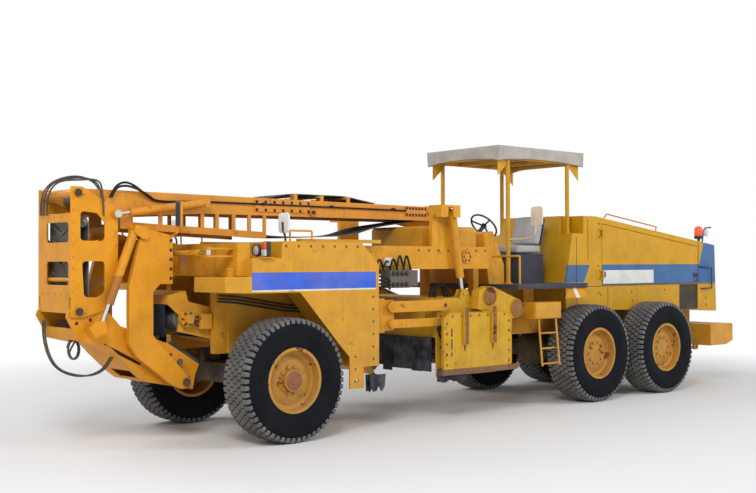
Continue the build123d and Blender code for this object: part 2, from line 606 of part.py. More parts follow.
def make_small_parts():
    """Lamps, beacon, mirrors and valve banks."""
    lamps = joined([
        block(LAMP_X - 40, LAMP_X + 120, 1000, 1245, STEP_TOP, STEP_TOP + 12),
        rod((LAMP_X, 1065, STEP_TOP + 86), (LAMP_X + 90, 1065, STEP_TOP + 86), 66),
        block(LAMP_X + 20, LAMP_X + 70, 1040, 1090, STEP_TOP + 10, STEP_TOP + 40),
        block(LAMP_X, LAMP_X + 80, 1145, 1235, STEP_TOP + 12, STEP_TOP + 180),
    ])
    stand = rod((-8780, 560, 2150), (-8780, 560, 2330), 25)
    under_roof = [(HOOD_KINK, 1000), (HOOD_KINK, HOOD_TOP), (HOOD_REAR, HOOD_TAIL), (HOOD_REAR, 1000)]
    stand = stand - slab(under_roof, 400, 700)
    beacon = stand + rod((-8780, 560, 2320), (-8780, 560, 2545), 72)
    save("lamps", both(lamps) + beacon)
    arm = rod((60, 1130, BODY_TOP), (60, 1130, 2400), 12)
    front = arm + block(60, 90, 1040, 1220, 2265, 2480)
    arm = rod((POST_FRONT, POST_Y + POST_R + SEAT_GAP, 2250), (POST_FRONT, 1120, 2250), 12)
    arm = arm + rod((POST_FRONT, 1110, 2240), (POST_FRONT, 1150, 2520), 12)
    save("mirrors", both(front + arm + block(POST_FRONT - 10, POST_FRONT + 20, 1050, 1250, 2420, 2680)))
    banks = block(-1790, -1480, BRIDGE_OUT, 1100, 1640, 1850)
    banks = banks + block(-1960, -1800, BRIDGE_OUT, 1060, 1660, 1850)
    save("valve_banks", both(banks + block(-1960, -1480, BRIDGE_OUT - 40, BRIDGE_OUT + 20, 1800, BRIDGE_LOW)))


# ---------------------------------------------------------------- milling unit
GUIDE_X = (-2560.0, -3060.0)     # side plate's guide bars
GUIDE_Z = (970.0, 1070.0)        # the two guide pins on each bar
GUIDE_R = 15.0
PLATE_UP = 100.0
PLATE_DOWN = 150.0
FLAP_HINGE = (-3372.0, 1250.0)


PICK_ROWS = 21
PICK_TURN = 31.0             # degrees from one pick to the next, along two opposed spirals
PICK_LENGTH = 108.0
PICK_LEAN = 40.0
HOLDER = (84.0, 48.0, 58.0)


def make_pick():
    """A leaning cutting pick in its holder, standing on the drum's skin above the origin."""
    holder = Pos(0, 0, DRUM_R - 8 + HOLDER[2] / 2) * Box(*HOLDER)
    lean = math.radians(PICK_LEAN)
    foot = TINE_TIP - PICK_LENGTH * math.cos(lean) - 4
    place = Pos(-HOLDER[0] / 2 + 8, 0, foot) * Rot(0, PICK_LEAN, 0)
    pick = loft([RegularPolygon(19, 6), Pos(0, 0, PICK_LENGTH) * RegularPolygon(6, 6)], ruled=True)
    return holder + place * pick


def make_milling_unit():
    """Drum housing with arms, drum, sliding side plates and rear door."""
    front = DRUM_X + 520
    back = DRUM_X - 520
    top = 1500.0
    wall_in = CUT_SIDE - CUT_WALL
    end_wall = slab([
        (front, CUT_LOW), (front, top - 60), (front - 120, top),
        (back + 200, top), (back, top - 160), (back, CUT_LOW),
    ], wall_in, CUT_SIDE)
    roof = slab([
        (front, 1020), (front, top - 60), (front - 120, top),
        (back + 200, top), (back, top - 160), (back, 1300),
    ], -wall_in, wall_in)
    inside = slab([
        (front - 20, 1010), (front - 20, top - 70), (front - 126, top - 20), (back + 208, top - 20),
        (back + 20, top - 168), (back + 20, 1290), (back + 60, 900), (front - 60, 900),
    ], -wall_in - 1, wall_in + 1)
    bearing = cross_pin(DRUM_X, DRUM_Z, 75, DRUM_HALF - 100, wall_in + 5)
    arm_pins = [cross_pin(ARM_FRONT_X - ARM_LENGTH, z, ARM_PIN_R, CUT_SIDE - 10, ARM_PIN_END) for z in ARM_Z]
    foot_x, foot_z = LIFT_FOOT
    lug = [
        (foot_x - 100, top - 20), (foot_x + 100, top - 20),
        (foot_x + 45, foot_z + 45), (foot_x - 45, foot_z + 45),
    ]
    ears = []
    ear_in = EYE_HALF + PIN_PROUD + EYE_GAP
    for y in (LIFT_Y - ear_in - 18, LIFT_Y + ear_in):
        ears.append(slab(lug, y, y + 18))
    lift_heads = [
        cross_pin(foot_x, foot_z, 34, LIFT_Y + ear_in + 17, LIFT_Y + ear_in + 28),
        cross_pin(foot_x, foot_z, 34, LIFT_Y - ear_in - 28, LIFT_Y - ear_in - 17),
    ]
    case = slab([
        (-2860, 1360), (-2900, 1590), (-3080, 1640), (-3160, 1630), (-3660, 1450), (-3700, 1340),
        (-3640, 1240),
        (-3500, 1220), (-3200, 1300), (-2960, 1330),
    ], CUT_SIDE - 1, 1185)
    covers = [cross_pin(x, z, 118, 1180, 1200) for x, z in ((-3080, 1516), (-3584, 1350))]
    guides = []
    for x in GUIDE_X:
        guides.append(block(x - 38, x + 38, PLATE_SIDE + 8, PLATE_SIDE + 36, 930, 1400))
        for z in GUIDE_Z:
            guides.append(cross_pin(x, z, GUIDE_R, CUT_SIDE - 5, PLATE_SIDE + 20))
    flap_pin = cross_pin(FLAP_HINGE[0], FLAP_HINGE[1], 14, 840, 960)
    flap_ears = []
    for y in (835, 947):
        flap_ears.append(block(FLAP_HINGE[0] - 25, back + 5, y, y + 18, FLAP_HINGE[1] - 25, 1300))
    carriers = lift_heads + arm_pins + ears + guides + flap_ears
    side = joined([end_wall, bearing, case, flap_pin] + covers + carriers)
    save("milling_housing", (roof - inside) + both(side))

    for name, z, half in (("upper", ARM_Z[0], 65), ("lower", ARM_Z[1], 50)):
        back_x = ARM_FRONT_X - ARM_LENGTH
        sides = (ARM_Y - ARM_HALF, ARM_Y + ARM_HALF)
        arm = block(back_x, ARM_FRONT_X, *sides, z - half, z + half)
        for x in (ARM_FRONT_X, back_x):
            arm = arm + cross_pin(x, z, half, *sides)
            arm = arm - cross_pin(x, z, ARM_PIN_R + RUN_FIT, *sides)
        save(f"milling_arms_{name}", both(arm))

    drum_end = DRUM_HALF - 30
    shell = [cross_pin(DRUM_X, DRUM_Z, DRUM_R, -drum_end, drum_end)]
    for i in range(PICK_ROWS):
        y = (2 * i / (PICK_ROWS - 1) - 1) * (drum_end - 40)
        for k in range(3):
            angle = 120 * k + PICK_TURN * abs(i - (PICK_ROWS - 1) / 2)
            shell.append(Pos(DRUM_X, y, DRUM_Z) * Rot(0, angle, 0) * make_pick())
    drum = joined(shell)
    socket = cross_pin(DRUM_X, DRUM_Z, 75 + RUN_FIT, DRUM_HALF - 110, DRUM_HALF + 10)
    drum = drum - both(socket)
    save("cutter_drum", drum)

    plate = slab([
        (-2200, 640), (-2200, 1240), (-2290, 1320), (-3320, 1320), (-3400, 1240), (-3400, 640),
    ], PLATE_SIDE - PLATE_WALL, PLATE_SIDE)
    skid = [(-2180, 575), (-2180, 640), (-3560, 640), (-3560, 610), (-3500, 575)]
    skid = slab(skid, PLATE_SIDE - 70, PLATE_SIDE + 5)
    plate = plate + skid
    for x in GUIDE_X:
        low = GUIDE_Z[0] - PLATE_UP - GUIDE_R - 1
        high = GUIDE_Z[1] + PLATE_DOWN + GUIDE_R + 1
        wide = GUIDE_R + SEAT_GAP
        plate = plate - block(x - wide, x + wide, PLATE_SIDE - 80, PLATE_SIDE + 10, low, high)
    save("side_plate_left", plate)
    save("side_plate_right", mirror(plate, about=Plane.XZ))

    hx, hz = FLAP_HINGE
    edge = CUT_LOW + 30
    flap = slab([(hx - 12, hz - 50), (hx + 12, hz - 50), (hx + 20, edge), (hx - 12, edge)], -1020, 1020)
    knuckle = cross_pin(hx, hz, 24, 865, 935) + block(hx - 12, hx + 12, 865, 935, hz - 55, hz)
    knuckle = knuckle - cross_pin(hx, hz, 14 + RUN_FIT, 860, 940)
    save("rear_scraper", flap + both(knuckle))


def make_cylinders():
    """Every cylinder pair: milling lift, conveyor lift and boom fold."""
    save_cylinder("conveyor_lift", LIFT_PIN, LIFT_EYE, CYLINDER_Y, 820, CYLINDER_R, ROD_R, 22)
    save_cylinder("boom_fold", FOLD_PIN, FOLD_EYE, CYLINDER_Y, 920, 42, 20, 22)
    save_cylinder("milling_lift", LIFT_TOP, LIFT_FOOT, LIFT_Y, 820, 50, 26, 25)


def save_cylinder(name, base, eye, y, barrel, radius, rod_radius, pin_radius):
    """A cylinder on each side in two nodes: barrel with its base eye, rod with its end eye and pin."""
    a = Vector(base[0], y, base[1])
    b = Vector(eye[0], y, eye[1])
    way = (b - a).normalized()
    body = rod(tuple(a + way * 20), tuple(a + way * barrel), radius)
    body = body + cross_pin(base[0], base[1], pin_radius + 22, y - EYE_HALF, y + EYE_HALF)
    body = body - rod(tuple(a + way * 60), tuple(a + way * (barrel + 10)), rod_radius + RUN_FIT)
    body = body - cross_pin(base[0], base[1], pin_radius + RUN_FIT, y - 80, y + 80)
    ram = rod(tuple(a + way * 90), tuple(b - way * 20), rod_radius)
    ram = ram + cross_pin(eye[0], eye[1], pin_radius + 18, y - EYE_HALF, y + EYE_HALF)
    ram = ram + cross_pin(eye[0], eye[1], pin_radius, y - EYE_HALF - PIN_PROUD, y + EYE_HALF + PIN_PROUD)
    save(f"{name}_barrels", both(body))
    save(f"{name}_rods", both(ram))


# ---------------------------------------------------------------- discharge conveyor
LIFT_PIN = (1500.0, 2290.0)      # conveyor lift cylinders: base on the swing frame
LIFT_EYE = (1883.0, 1295.0)      # and eye on the lower boom
BOSS_END = CYLINDER_Y - EYE_HALF - PIN_PROUD - EYE_GAP
FOLD_PIN = (640.0, 2597.0)       # fold cylinders: base on the upper boom
FOLD_EYE = (1699.0, 2449.0)      # and eye on the link frame


def make_swing_frame():
    """Two C-shaped side plates on a cross box that turns on the front beam's upright pin."""
    c_shape = slab([
        (1067, 1720), (1067, 2232), (1420, 2312), (1440, 2230), (1580, 1704), (1580, 1111), (1480, 965),
        (1089, 665), (960, 600), (870, 600), (850, 700), (900, 745), (1300, 1180), (1300, 1640), (1220, 1720),
    ], ARM_IN, ARM_OUT)
    reach = CYLINDER_R + 6
    bridge = [(1360, 2215), (1390, 2325), (1436, 2325), (1438, 2225), (1400, 2180)]
    cheek = [(1380, 2230), (1400, 2320), (1520, 2340), (1545, 2270), (1500, 2230), (1430, 2190)]
    clevis = [slab(bridge, CYLINDER_Y - reach - 12, CYLINDER_Y + reach + 12)]
    for y in (CYLINDER_Y - reach - 12, CYLINDER_Y + reach):
        clevis.append(slab(cheek, y, y + 12))
    pin = cross_pin(LIFT_PIN[0], LIFT_PIN[1], 22, CYLINDER_Y - reach - 6, CYLINDER_Y + reach + 6)
    foot_pin = cross_pin(FOOT[0], FOOT[1], PIN_R, BOOM_SIDE - BOOM_WALL - 8, ARM_OUT + 12)
    lug_gap = 6.0
    low = LUG_Z[0][1] + lug_gap
    high = LUG_Z[1][0] - lug_gap
    cross_box = block(1067, 1167, -ARM_IN - 1, ARM_IN + 1, 1760, 2200)
    knuckle = block(SWING_X, 1070, -95, 95, low, high)
    knuckle = knuckle + Pos(SWING_X, 0, (low + high) / 2) * Cylinder(95, high - low)
    bottom = LUG_Z[0][0]
    top = LUG_Z[1][1]
    post = Pos(SWING_X, 0, (bottom + top) / 2) * Cylinder(SWING_PIN_R, top - bottom + 30)
    eye_y = SWING_CYLINDER_Y[0]
    ears = []
    for z0 in (SWING_CYLINDER_Z - 50, SWING_CYLINDER_Z + 30):
        ears.append(block(SWING_CYLINDER_X - 35, 1075, eye_y - 35, eye_y + 35, z0, z0 + 12))
    eye_pin = Pos(SWING_CYLINDER_X, eye_y, SWING_CYLINDER_Z) * Cylinder(16, 90)
    mirror_arm = joined([
        rod((1080, 470, 2225), (1080, 600, 2260), 11), rod((1080, 595, 2255), (1080, 640, 2400), 11),
        block(1065, 1095, 600, 690, 2330, 2590),
    ])
    whole = both(joined([c_shape, pin, foot_pin, mirror_arm] + clevis))
    save("swing_frame", joined([whole, cross_box, knuckle, post, eye_pin] + ears))

    y0, y1 = SWING_CYLINDER_Y
    x = SWING_CYLINDER_X
    z = SWING_CYLINDER_Z
    barrel = rod((x, y0 + 15, z), (x, 800, z), 30) + Pos(x, y0, z) * Cylinder(30, 50)
    barrel = barrel - rod((x, y0 + 60, z), (x, 810, z), 16 + RUN_FIT)
    barrel = barrel - Pos(x, y0, z) * Cylinder(16 + RUN_FIT, 80)
    save("swing_cylinder_barrel", barrel)
    ram = rod((x, y0 + 110, z), (x, y1 - 15, z), 16) + Pos(x, y1, z) * Cylinder(30, 50)
    save("swing_cylinder_rod", ram + Pos(x, y1, z) * Cylinder(16, 50 + 2 * PIN_PROUD))


# underside of the lower boom, from its nose back to its hopper: x, z
LOWER_UNDER = (
    (2150.0, 1282.0), (2107.0, 1165.0), (1900.0, 1113.0), (1740.0, 1080.0), (1410.0, 767.0), (1304.0, 686.0),
    (929.0, 606.0), (748.0, 568.0),
)
LOWER_TAIL = (922.0, 880.0)
LOWER_NOSE = (1930.0, 1265.0)
CHEEK_WALL = 12.0


def make_lower_boom():
    """First section: from the hopper under the primary conveyor to the link frame."""
    edge = (BOOM_SIDE - BOOM_WALL, BOOM_SIDE)
    top = [
        (719, 721), (668, 838), (1041, 1075), (1615, 1290), (1763, 1454), (1960, 1500),
        (2060, 1520), (2150, 1500), (2205, 1440), (2215, 1400),
    ]
    window = [(1800, 1120), (1519, 975), (1380, 895), (1380, 860), (1437, 890), (1519, 932), (1800, 1075)]
    plate = slab(top + list(LOWER_UNDER), *edge) - slab(window, *edge)
    for x, z in (LOW_PIN, FOOT):
        plate = plate - cross_pin(x, z, PIN_R + RUN_FIT, *edge)
    eye_x, eye_z = LIFT_EYE
    boss = cross_pin(eye_x, eye_z, 40, BOOM_SIDE - 5, BOSS_END)
    hub = cross_pin(*LOWER_TAIL, 60, BOOM_SIDE - 5, BOOM_SIDE + 20)
    ear_in = 2 * CYLINDER_Y - BOSS_END
    cheek = slab([
        (eye_x - 53, eye_z - 65), (eye_x + 77, eye_z - 105), (eye_x + 147, eye_z - 5),
        (eye_x + 77, eye_z + 55), (eye_x - 33, eye_z + 60),
    ], ear_in, ear_in + CHEEK_WALL)
    web = slab([
        (eye_x + 77, eye_z - 105), (eye_x + 147, eye_z - 5),
        (eye_x + 135, eye_z + 3), (eye_x + 65, eye_z - 97),
    ], BOOM_SIDE - 1, ear_in + 1)
    inner = BOOM_SIDE - BOOM_WALL + 1
    pan = strip(LOWER_UNDER, CHEEK_WALL, inner) - block(1330, 1450, -170, 250, 600, 900)
    save("lower_boom", both(joined([plate, boss, hub, cheek, web])) + pan)
    tail = Vector(LOWER_TAIL[0], 0, LOWER_TAIL[1])
    nose = Vector(LOWER_NOSE[0], 0, LOWER_NOSE[1])
    save("lower_belt", belt_between(tail, nose, 75, inner - 1))


def belt_between(a, b, radius, shaft_half):
    """Two rollers with the belt's carrying and return runs between them."""
    way = (b - a).normalized()
    up = Vector(-way.Z, 0, way.X)
    pieces = []
    for end in (a, b):
        pieces.append(cross_pin(end.X, end.Z, radius, -BELT_HALF + 5, BELT_HALF - 5))
        pieces.append(cross_pin(end.X, end.Z, 22, -shaft_half + SEAT_GAP, shaft_half - SEAT_GAP))
    for side in (1, -1):
        low = a + up * (side * (radius - 1))
        high = b + up * (side * (radius - 1))
        out = up * (side * 12)
        corners = [low, high, high + out, low + out]
        pieces.append(slab([(p.X, p.Z) for p in corners], -BELT_HALF, BELT_HALF))
    return joined(pieces)


LINK_FACE = 2173.0               # front of the link frame
LINK_ROLLERS = ((2010.0, 1560.0), (2010.0, 2370.0))
LINK_ROLLER_R = 60.0
WINDOW_R = 40.0
LINK_NECK = 1600.0               # below this the front plate fits between the lower boom's sides
CLEATS = 5


def front_window(y0, y1, z0, z1):
    """A tool that cuts one rounded window through the link frame's front plate."""
    plane = Plane(origin=(LINK_FACE - 40, (y0 + y1) / 2, (z0 + z1) / 2), x_dir=(0, 1, 0), z_dir=(1, 0, 0))
    return extrude(plane * RectangleRounded(y1 - y0, z1 - z0, WINDOW_R), amount=60)


def make_link_frame():
    """Second section: the upright box at the front, with windows in its side and front plates."""
    edge = (CONVEYOR_SIDE - BOOM_WALL, CONVEYOR_SIDE)
    plate = slab([
        (LINK_FACE, 1400), (LINK_FACE, 2718), (2050, 2718), (1654, 2500), (1654, 1700),
        (1780, 1470), (1900, 1430), (2060, 1390),
    ], *edge)
    # side windows: x, z corners
    for window in (
        [(2072, 2473), (1890, 2454), (1804, 2364), (1803, 2171), (2072, 2171)],
        [(2054, 1962), (1803, 1962), (1803, 1637), (1890, 1593), (2032, 1600)],
    ):
        plate = plate - soft_slab(window, *edge, WINDOW_R)
    pins = []
    for x, z in (LOW_PIN, TOP_PIN):
        pins.append(cross_pin(x, z, PIN_R, BOOM_SIDE - BOOM_WALL - 8, CONVEYOR_SIDE + 18))
    boss = cross_pin(FOLD_EYE[0], FOLD_EYE[1], 40, CONVEYOR_SIDE - 5, BOSS_END)
    inner = CONVEYOR_SIDE - BOOM_WALL + 1
    neck = BOOM_SIDE - BOOM_WALL - MOVE_GAP
    face = block(LINK_FACE - 12, LINK_FACE, -inner, inner, LINK_NECK, 2450)
    face = face + block(LINK_FACE - 12, LINK_FACE, -neck, neck, 1437, LINK_NECK + 1)
    for z0, z1 in ((2155, 2360), (1720, 1960)):
        face = face - front_window(-190, neck - 10, z0, z1)
    rails = [
        cross_pin(LINK_FACE - 38, 1775, 22, -inner, inner),
        block(1660, 1690, -inner, inner, 1710, 1770),
        block(1660, 1690, -inner, inner, 2260, 2320),
    ]
    save("link_frame", joined([both(joined([plate, boss] + pins)), face] + rails))
    low, high = [Vector(x, 0, z) for x, z in LINK_ROLLERS]
    belt = [belt_between(low, high, LINK_ROLLER_R, inner - 1)]
    face_x = low.X + LINK_ROLLER_R + 18
    pitch = (high.Z - low.Z - 160) / (CLEATS - 1)
    for i in range(CLEATS):
        for side in (1, -1):
            cleat = Rot(25 * side, 0, 0) * Box(26, 225, 24)
            belt.append(Pos(face_x, 105 * side, low.Z + 80 + pitch * i) * cleat)
    save("link_belt", joined(belt))


UPPER_BELT = ((1890.0, 2605.0), (-2780.0, 2560.0))   # front and rear rollers of the stowed upper boom
RETURN_X = (-656.0, -1049.0, -1458.0)                # brackets of the return rollers
STRUT_X = (1140.0, 620.0, 430.0, 210.0, 0.0)
HINGE_PLATE = (-861.0, -70.0, 2528.0, 2660.0)        # x0, x1, z0, z1 of the doubler at the folding joint
END_PLATE = (-2764.0, -2399.0, 2540.0, 2650.0)


def make_upper_boom():
    """Third section, folded back over the machine, upside down in its stowed place."""
    edge = (BOOM_SIDE - BOOM_WALL, BOOM_SIDE)
    plate = slab([
        (2150, 2600), (2150, 2700), (1745, 2700), (-2870, 2665), (-2870, 2485), (580, 2485), (1459, 2440),
        (1600, 2445), (2060, 2590),
    ], *edge)
    plate = plate - cross_pin(TOP_PIN[0], TOP_PIN[1], PIN_R + RUN_FIT, *edge)
    chord_front = (1616.0, 2376.0)
    chord_rear = (-231.0, 2295.0)
    depth = 75.0
    chord = slab([
        (chord_front[0], chord_front[1] - depth), chord_front,
        chord_rear, (chord_rear[0], chord_rear[1] - depth),
    ], *edge)
    fall = (chord_front[1] - chord_rear[1]) / (chord_front[0] - chord_rear[0])
    pieces = [plate, chord]
    for x in STRUT_X:
        foot = chord_rear[1] + (x - chord_rear[0]) * fall
        pieces.append(block(x - 22, x + 22, *edge, foot - 30, 2500))
    pieces.append(slab([(1470, 2340), (1616, 2340), (1616, 2470), (1470, 2470)], *edge))
    pieces.append(slab([(-231, 2230), (-231, 2500), (-190, 2500), (-190, 2230)], *edge))
    for x0, x1, z0, z1 in (HINGE_PLATE, END_PLATE):
        pieces.append(block(x0, x1, BOOM_SIDE - 1, BOOM_SIDE + 12, z0, z1))
    for x, z in ((-897, 2540), (-2827, 2600)):
        pieces.append(cross_pin(x, z, 45, BOOM_SIDE - 1, BOOM_SIDE + 24))
    for x in RETURN_X:
        pieces.append(block(x - 24, x + 24, *edge, 2640, 2745))
    pieces.append(cross_pin(FOLD_PIN[0], FOLD_PIN[1], 22, BOOM_SIDE - 5, CYLINDER_Y + 40))
    inner = BOOM_SIDE - BOOM_WALL + 1
    front = Vector(UPPER_BELT[0][0], 0, UPPER_BELT[0][1])
    rear = Vector(UPPER_BELT[1][0], 0, UPPER_BELT[1][1])
    slope = (front.Z - rear.Z) / (front.X - rear.X)
    crosses = [cross_pin(x, 2728, 16, -inner, inner) for x in RETURN_X]
    for x in (1500, 600, -300, -1200, -2100):
        z = rear.Z + (x - rear.X) * slope
        crosses.append(block(x, x + 60, -inner, inner, z - 18, z + 18))
    tube = cross_pin(TOP_PIN[0], TOP_PIN[1], 45, -inner, inner)
    crosses.append(tube - cross_pin(TOP_PIN[0], TOP_PIN[1], PIN_R + RUN_FIT, -inner, inner))
    hood = slab([
        (-2870, 2460), (-2870, 2680), (-3050, 2690), (-3150, 2640), (-3150, 2430), (-3050, 2430),
    ], -inner, inner)
    inside = [(-2860, 2420), (-2860, 2665), (-3044, 2672), (-3135, 2630), (-3135, 2420)]
    hood = hood - slab(inside, -inner + 15, inner - 15)
    save("upper_boom", joined([both(joined(pieces)), hood] + crosses))
    save("upper_belt", belt_between(front, rear, 45, inner - 1))


make_wheels()
make_front_axle()
make_rear_axles()
make_main_frame()
make_front_body()
make_water_tank()
make_primary_conveyor()
make_hood()
make_station()
make_small_parts()
make_milling_unit()
make_cylinders()
make_swing_frame()
make_lower_boom()
make_link_frame()
make_upper_boom()
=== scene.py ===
"""Dress a packed six-wheel cold planer: paint, tyres, canopy, seat, belts, lamps, hoses and fittings.

Metres, X forward, Y left, Z up.  A station is a place along the machine, measured from the front axle.
Pieces are given by (station, y, z) points, which at() moves into the frame.
"""
from __future__ import annotations

import logging
import math
from dataclasses import dataclass
from enum import Enum
from typing import Callable, Iterable, Sequence

import bpy
from mathutils import Matrix, Vector, noise

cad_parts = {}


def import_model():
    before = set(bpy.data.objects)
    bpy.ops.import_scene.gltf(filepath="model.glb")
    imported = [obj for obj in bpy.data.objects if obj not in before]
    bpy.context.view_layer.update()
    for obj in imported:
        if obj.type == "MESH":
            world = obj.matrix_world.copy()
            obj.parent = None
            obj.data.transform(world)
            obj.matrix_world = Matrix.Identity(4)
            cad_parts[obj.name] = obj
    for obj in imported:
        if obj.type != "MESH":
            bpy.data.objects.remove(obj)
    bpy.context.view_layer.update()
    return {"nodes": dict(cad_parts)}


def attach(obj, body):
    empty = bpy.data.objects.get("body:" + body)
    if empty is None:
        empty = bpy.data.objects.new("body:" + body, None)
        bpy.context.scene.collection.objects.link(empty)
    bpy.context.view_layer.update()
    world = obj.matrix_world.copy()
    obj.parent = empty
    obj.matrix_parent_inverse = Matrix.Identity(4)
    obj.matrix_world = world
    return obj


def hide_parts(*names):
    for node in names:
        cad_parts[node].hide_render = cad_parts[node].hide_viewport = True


LOG = logging.getLogger("planer")
Point = tuple[float, float, float]
Flat = tuple[float, float]
Colour = tuple[float, float, float]
Piece = bpy.types.Object
Socket = bpy.types.NodeSocket

FRONT_AXLE = 3.3425           # where the front axle lies in the frame
LEFT: Point = (0, 1, 0)
SIDES = (("left", 1), ("right", -1))
MIRRORED = Matrix.Scale(-1, 4, LEFT)
SMOOTH_ANGLE = 0.7            # faces closer than this, in radians, are shaded as one
MERGE = 0.00002               # points closer than this become one


def at(x: float, y: float, z: float) -> Point:
    """Return the frame's point for a station x from the front axle."""
    return (x + FRONT_AXLE, y, z)


def srgb(red: int, green: int, blue: int) -> Colour:
    """Return the linear colour of a display colour whose parts run from 0 to 255."""
    shares = (value / 255 for value in (red, green, blue))
    return tuple(part / 12.92 if part <= 0.04045 else ((part + 0.055) / 1.055) ** 2.4 for part in shares)


# ---------------------------------------------------------------- modelling by hand
def fresh(add: Callable[..., set[str]], **settings: object) -> Piece:
    """Deselect everything and run an operator that adds an object.

    Args:
        add: The operator.
        **settings: What it is called with.

    Returns:
        The new object.
    """
    bpy.ops.object.select_all(action="DESELECT")
    add(**settings)
    return bpy.context.object


def activate(piece: Piece) -> Piece:
    """Make a piece the only selected one and the active one.

    Args:
        piece: The piece.

    Returns:
        The same piece.
    """
    bpy.ops.object.select_all(action="DESELECT")
    piece.select_set(True)
    bpy.context.view_layer.objects.active = piece
    return piece


def open_mesh() -> None:
    """Enter edit mode with everything selected."""
    bpy.ops.object.mode_set(mode="EDIT")
    bpy.ops.mesh.select_all(action="SELECT")


def close_mesh(merge: float = 0.0) -> None:
    """Merge close points, point the faces outwards and leave edit mode.

    Args:
        merge: Points closer than this become one; 0 leaves them.
    """
    bpy.ops.mesh.select_all(action="SELECT")
    if merge > 0:
        bpy.ops.mesh.remove_doubles(threshold=merge)
    bpy.ops.mesh.normals_make_consistent(inside=False)
    bpy.ops.object.mode_set(mode="OBJECT")


def settle(piece: Piece, name: str) -> Piece:
    """Name a piece and put its place into its mesh.

    Args:
        piece: The piece.
        name: Its name, and its mesh's.

    Returns:
        The same piece, at the origin, unturned and unscaled.
    """
    piece.name = name
    piece.data.name = name
    activate(piece)
    bpy.ops.object.transform_apply(location=True, rotation=True, scale=True)
    return piece


def box(name: str, low: Point, high: Point, origin: float = FRONT_AXLE) -> Piece:
    """Add a box between two corners.

    Args:
        name: The piece's name.
        low: Lowest corner.
        high: Highest corner.
        origin: Where station 0 lies in the frame; 0 for points of the frame.

    Returns:
        The piece.
    """
    low, high = ((x + origin, y, z) for x, y, z in (low, high))
    piece = fresh(bpy.ops.mesh.primitive_cube_add, size=1, location=[(a + b) / 2 for a, b in zip(low, high)])
    piece.scale = [abs(b - a) for a, b in zip(low, high)]
    return settle(piece, name)


def bar(name: str, start: Point, end: Point, radius: float, sides: int = 20, origin: float = FRONT_AXLE) -> Piece:
    """Add a round bar between two points.

    Args:
        name: The piece's name.
        start: Middle of one end.
        end: Middle of the other end.
        radius: The bar's radius.
        sides: Faces round it.
        origin: Where station 0 lies in the frame; 0 for points of the frame.

    Returns:
        The piece.
    """
    first, last = (Vector((x + origin, y, z)) for x, y, z in (start, end))
    way = last - first
    turn = way.to_track_quat("Z", "Y").to_euler()
    return settle(fresh(bpy.ops.mesh.primitive_cylinder_add, vertices=sides, radius=radius, depth=way.length,
                        location=(first + last) / 2, rotation=turn), name)


def rounded(piece: Piece, width: float, segments: int = 2, angle: float = 0.6) -> Piece:
    """Bevel a piece's sharp edges.

    Args:
        piece: The mesh.
        width: The bevel's width.
        segments: Faces across it.
        angle: Smallest angle between faces that is bevelled, in radians.

    Returns:
        The same piece.
    """
    activate(piece)
    bevel = piece.modifiers.new("edge", "BEVEL")
    bevel.width = width
    bevel.segments = segments
    bevel.limit_method = "ANGLE"
    bevel.angle_limit = angle
    bpy.ops.object.modifier_apply(modifier=bevel.name)
    bpy.ops.object.shade_smooth_by_angle(angle=SMOOTH_ANGLE)
    return piece


def plate(name: str, outline: Sequence[Flat], y0: float, y1: float) -> Piece:
    """Add a flat plate from a side outline.

    Args:
        name: The piece's name.
        outline: (station, z) corners in order.
        y0: One face.
        y1: The other face.

    Returns:
        The piece.
    """
    piece = fresh(bpy.ops.mesh.primitive_circle_add, vertices=len(outline), fill_type="NGON")
    for vertex, (x, z) in zip(piece.data.vertices, outline):
        vertex.co = at(x, y0, z)
    open_mesh()
    bpy.ops.mesh.extrude_region_move(TRANSFORM_OT_translate={"value": (0, y1 - y0, 0)})
    close_mesh()
    return settle(piece, name)


def lathe(name: str, profile: Sequence[Flat], steps: int) -> Piece:
    """Turn a profile round the Y axis at the origin.

    Args:
        name: The piece's name.
        profile: (radius, y) points; a closed loop where the first follows the last.
        steps: Faces round it.

    Returns:
        The piece.
    """
    piece = fresh(bpy.ops.mesh.primitive_circle_add, vertices=len(profile), fill_type="NOTHING")
    for vertex, (radius, y) in zip(piece.data.vertices, profile):
        vertex.co = (radius, y, 0)
    open_mesh()
    bpy.ops.mesh.spin(steps=steps, angle=math.tau, center=(0, 0, 0), axis=LEFT)
    close_mesh(MERGE)
    return settle(piece, name)


def stand(piece: Piece, place: Point, angle: float = 0.0, axis: str = "Z") -> Piece:
    """Turn a piece that was made at the origin, move it to its place and return it."""
    piece.data.transform(Matrix.Translation(at(*place)) @ Matrix.Rotation(angle, 4, axis))
    return piece


def upright(name: str, profile: Sequence[Flat], place: Point, steps: int = 32) -> Piece:
    """Turn a profile of (radius, height) points about an upright axis that stands on a place.

    Args:
        name: The piece's name.
        profile: The closed profile.
        place: The foot of the axis.
        steps: Faces round it.

    Returns:
        The piece.
    """
    piece = activate(stand(lathe(name, profile, steps), place, math.pi / 2, "X"))
    bpy.ops.object.shade_smooth_by_angle(angle=0.6)
    return piece


def with_elbows(points: Sequence[Vector], reach: float) -> list[Vector]:
    """Add a point on each side of every corner, so that the runs stay straight.

    Args:
        points: The route's corners and ends.
        reach: How far from a corner the new points lie at most.

    Returns:
        The longer list of points.
    """
    result = [points[0]]
    for before, here, after in zip(points, points[1:], points[2:]):
        near, far = (here + (other - here).normalized() * min(reach, (other - here).length * 0.45)
                     for other in (before, after))
        result += [near, here, far]
    result.append(points[-1])
    return result


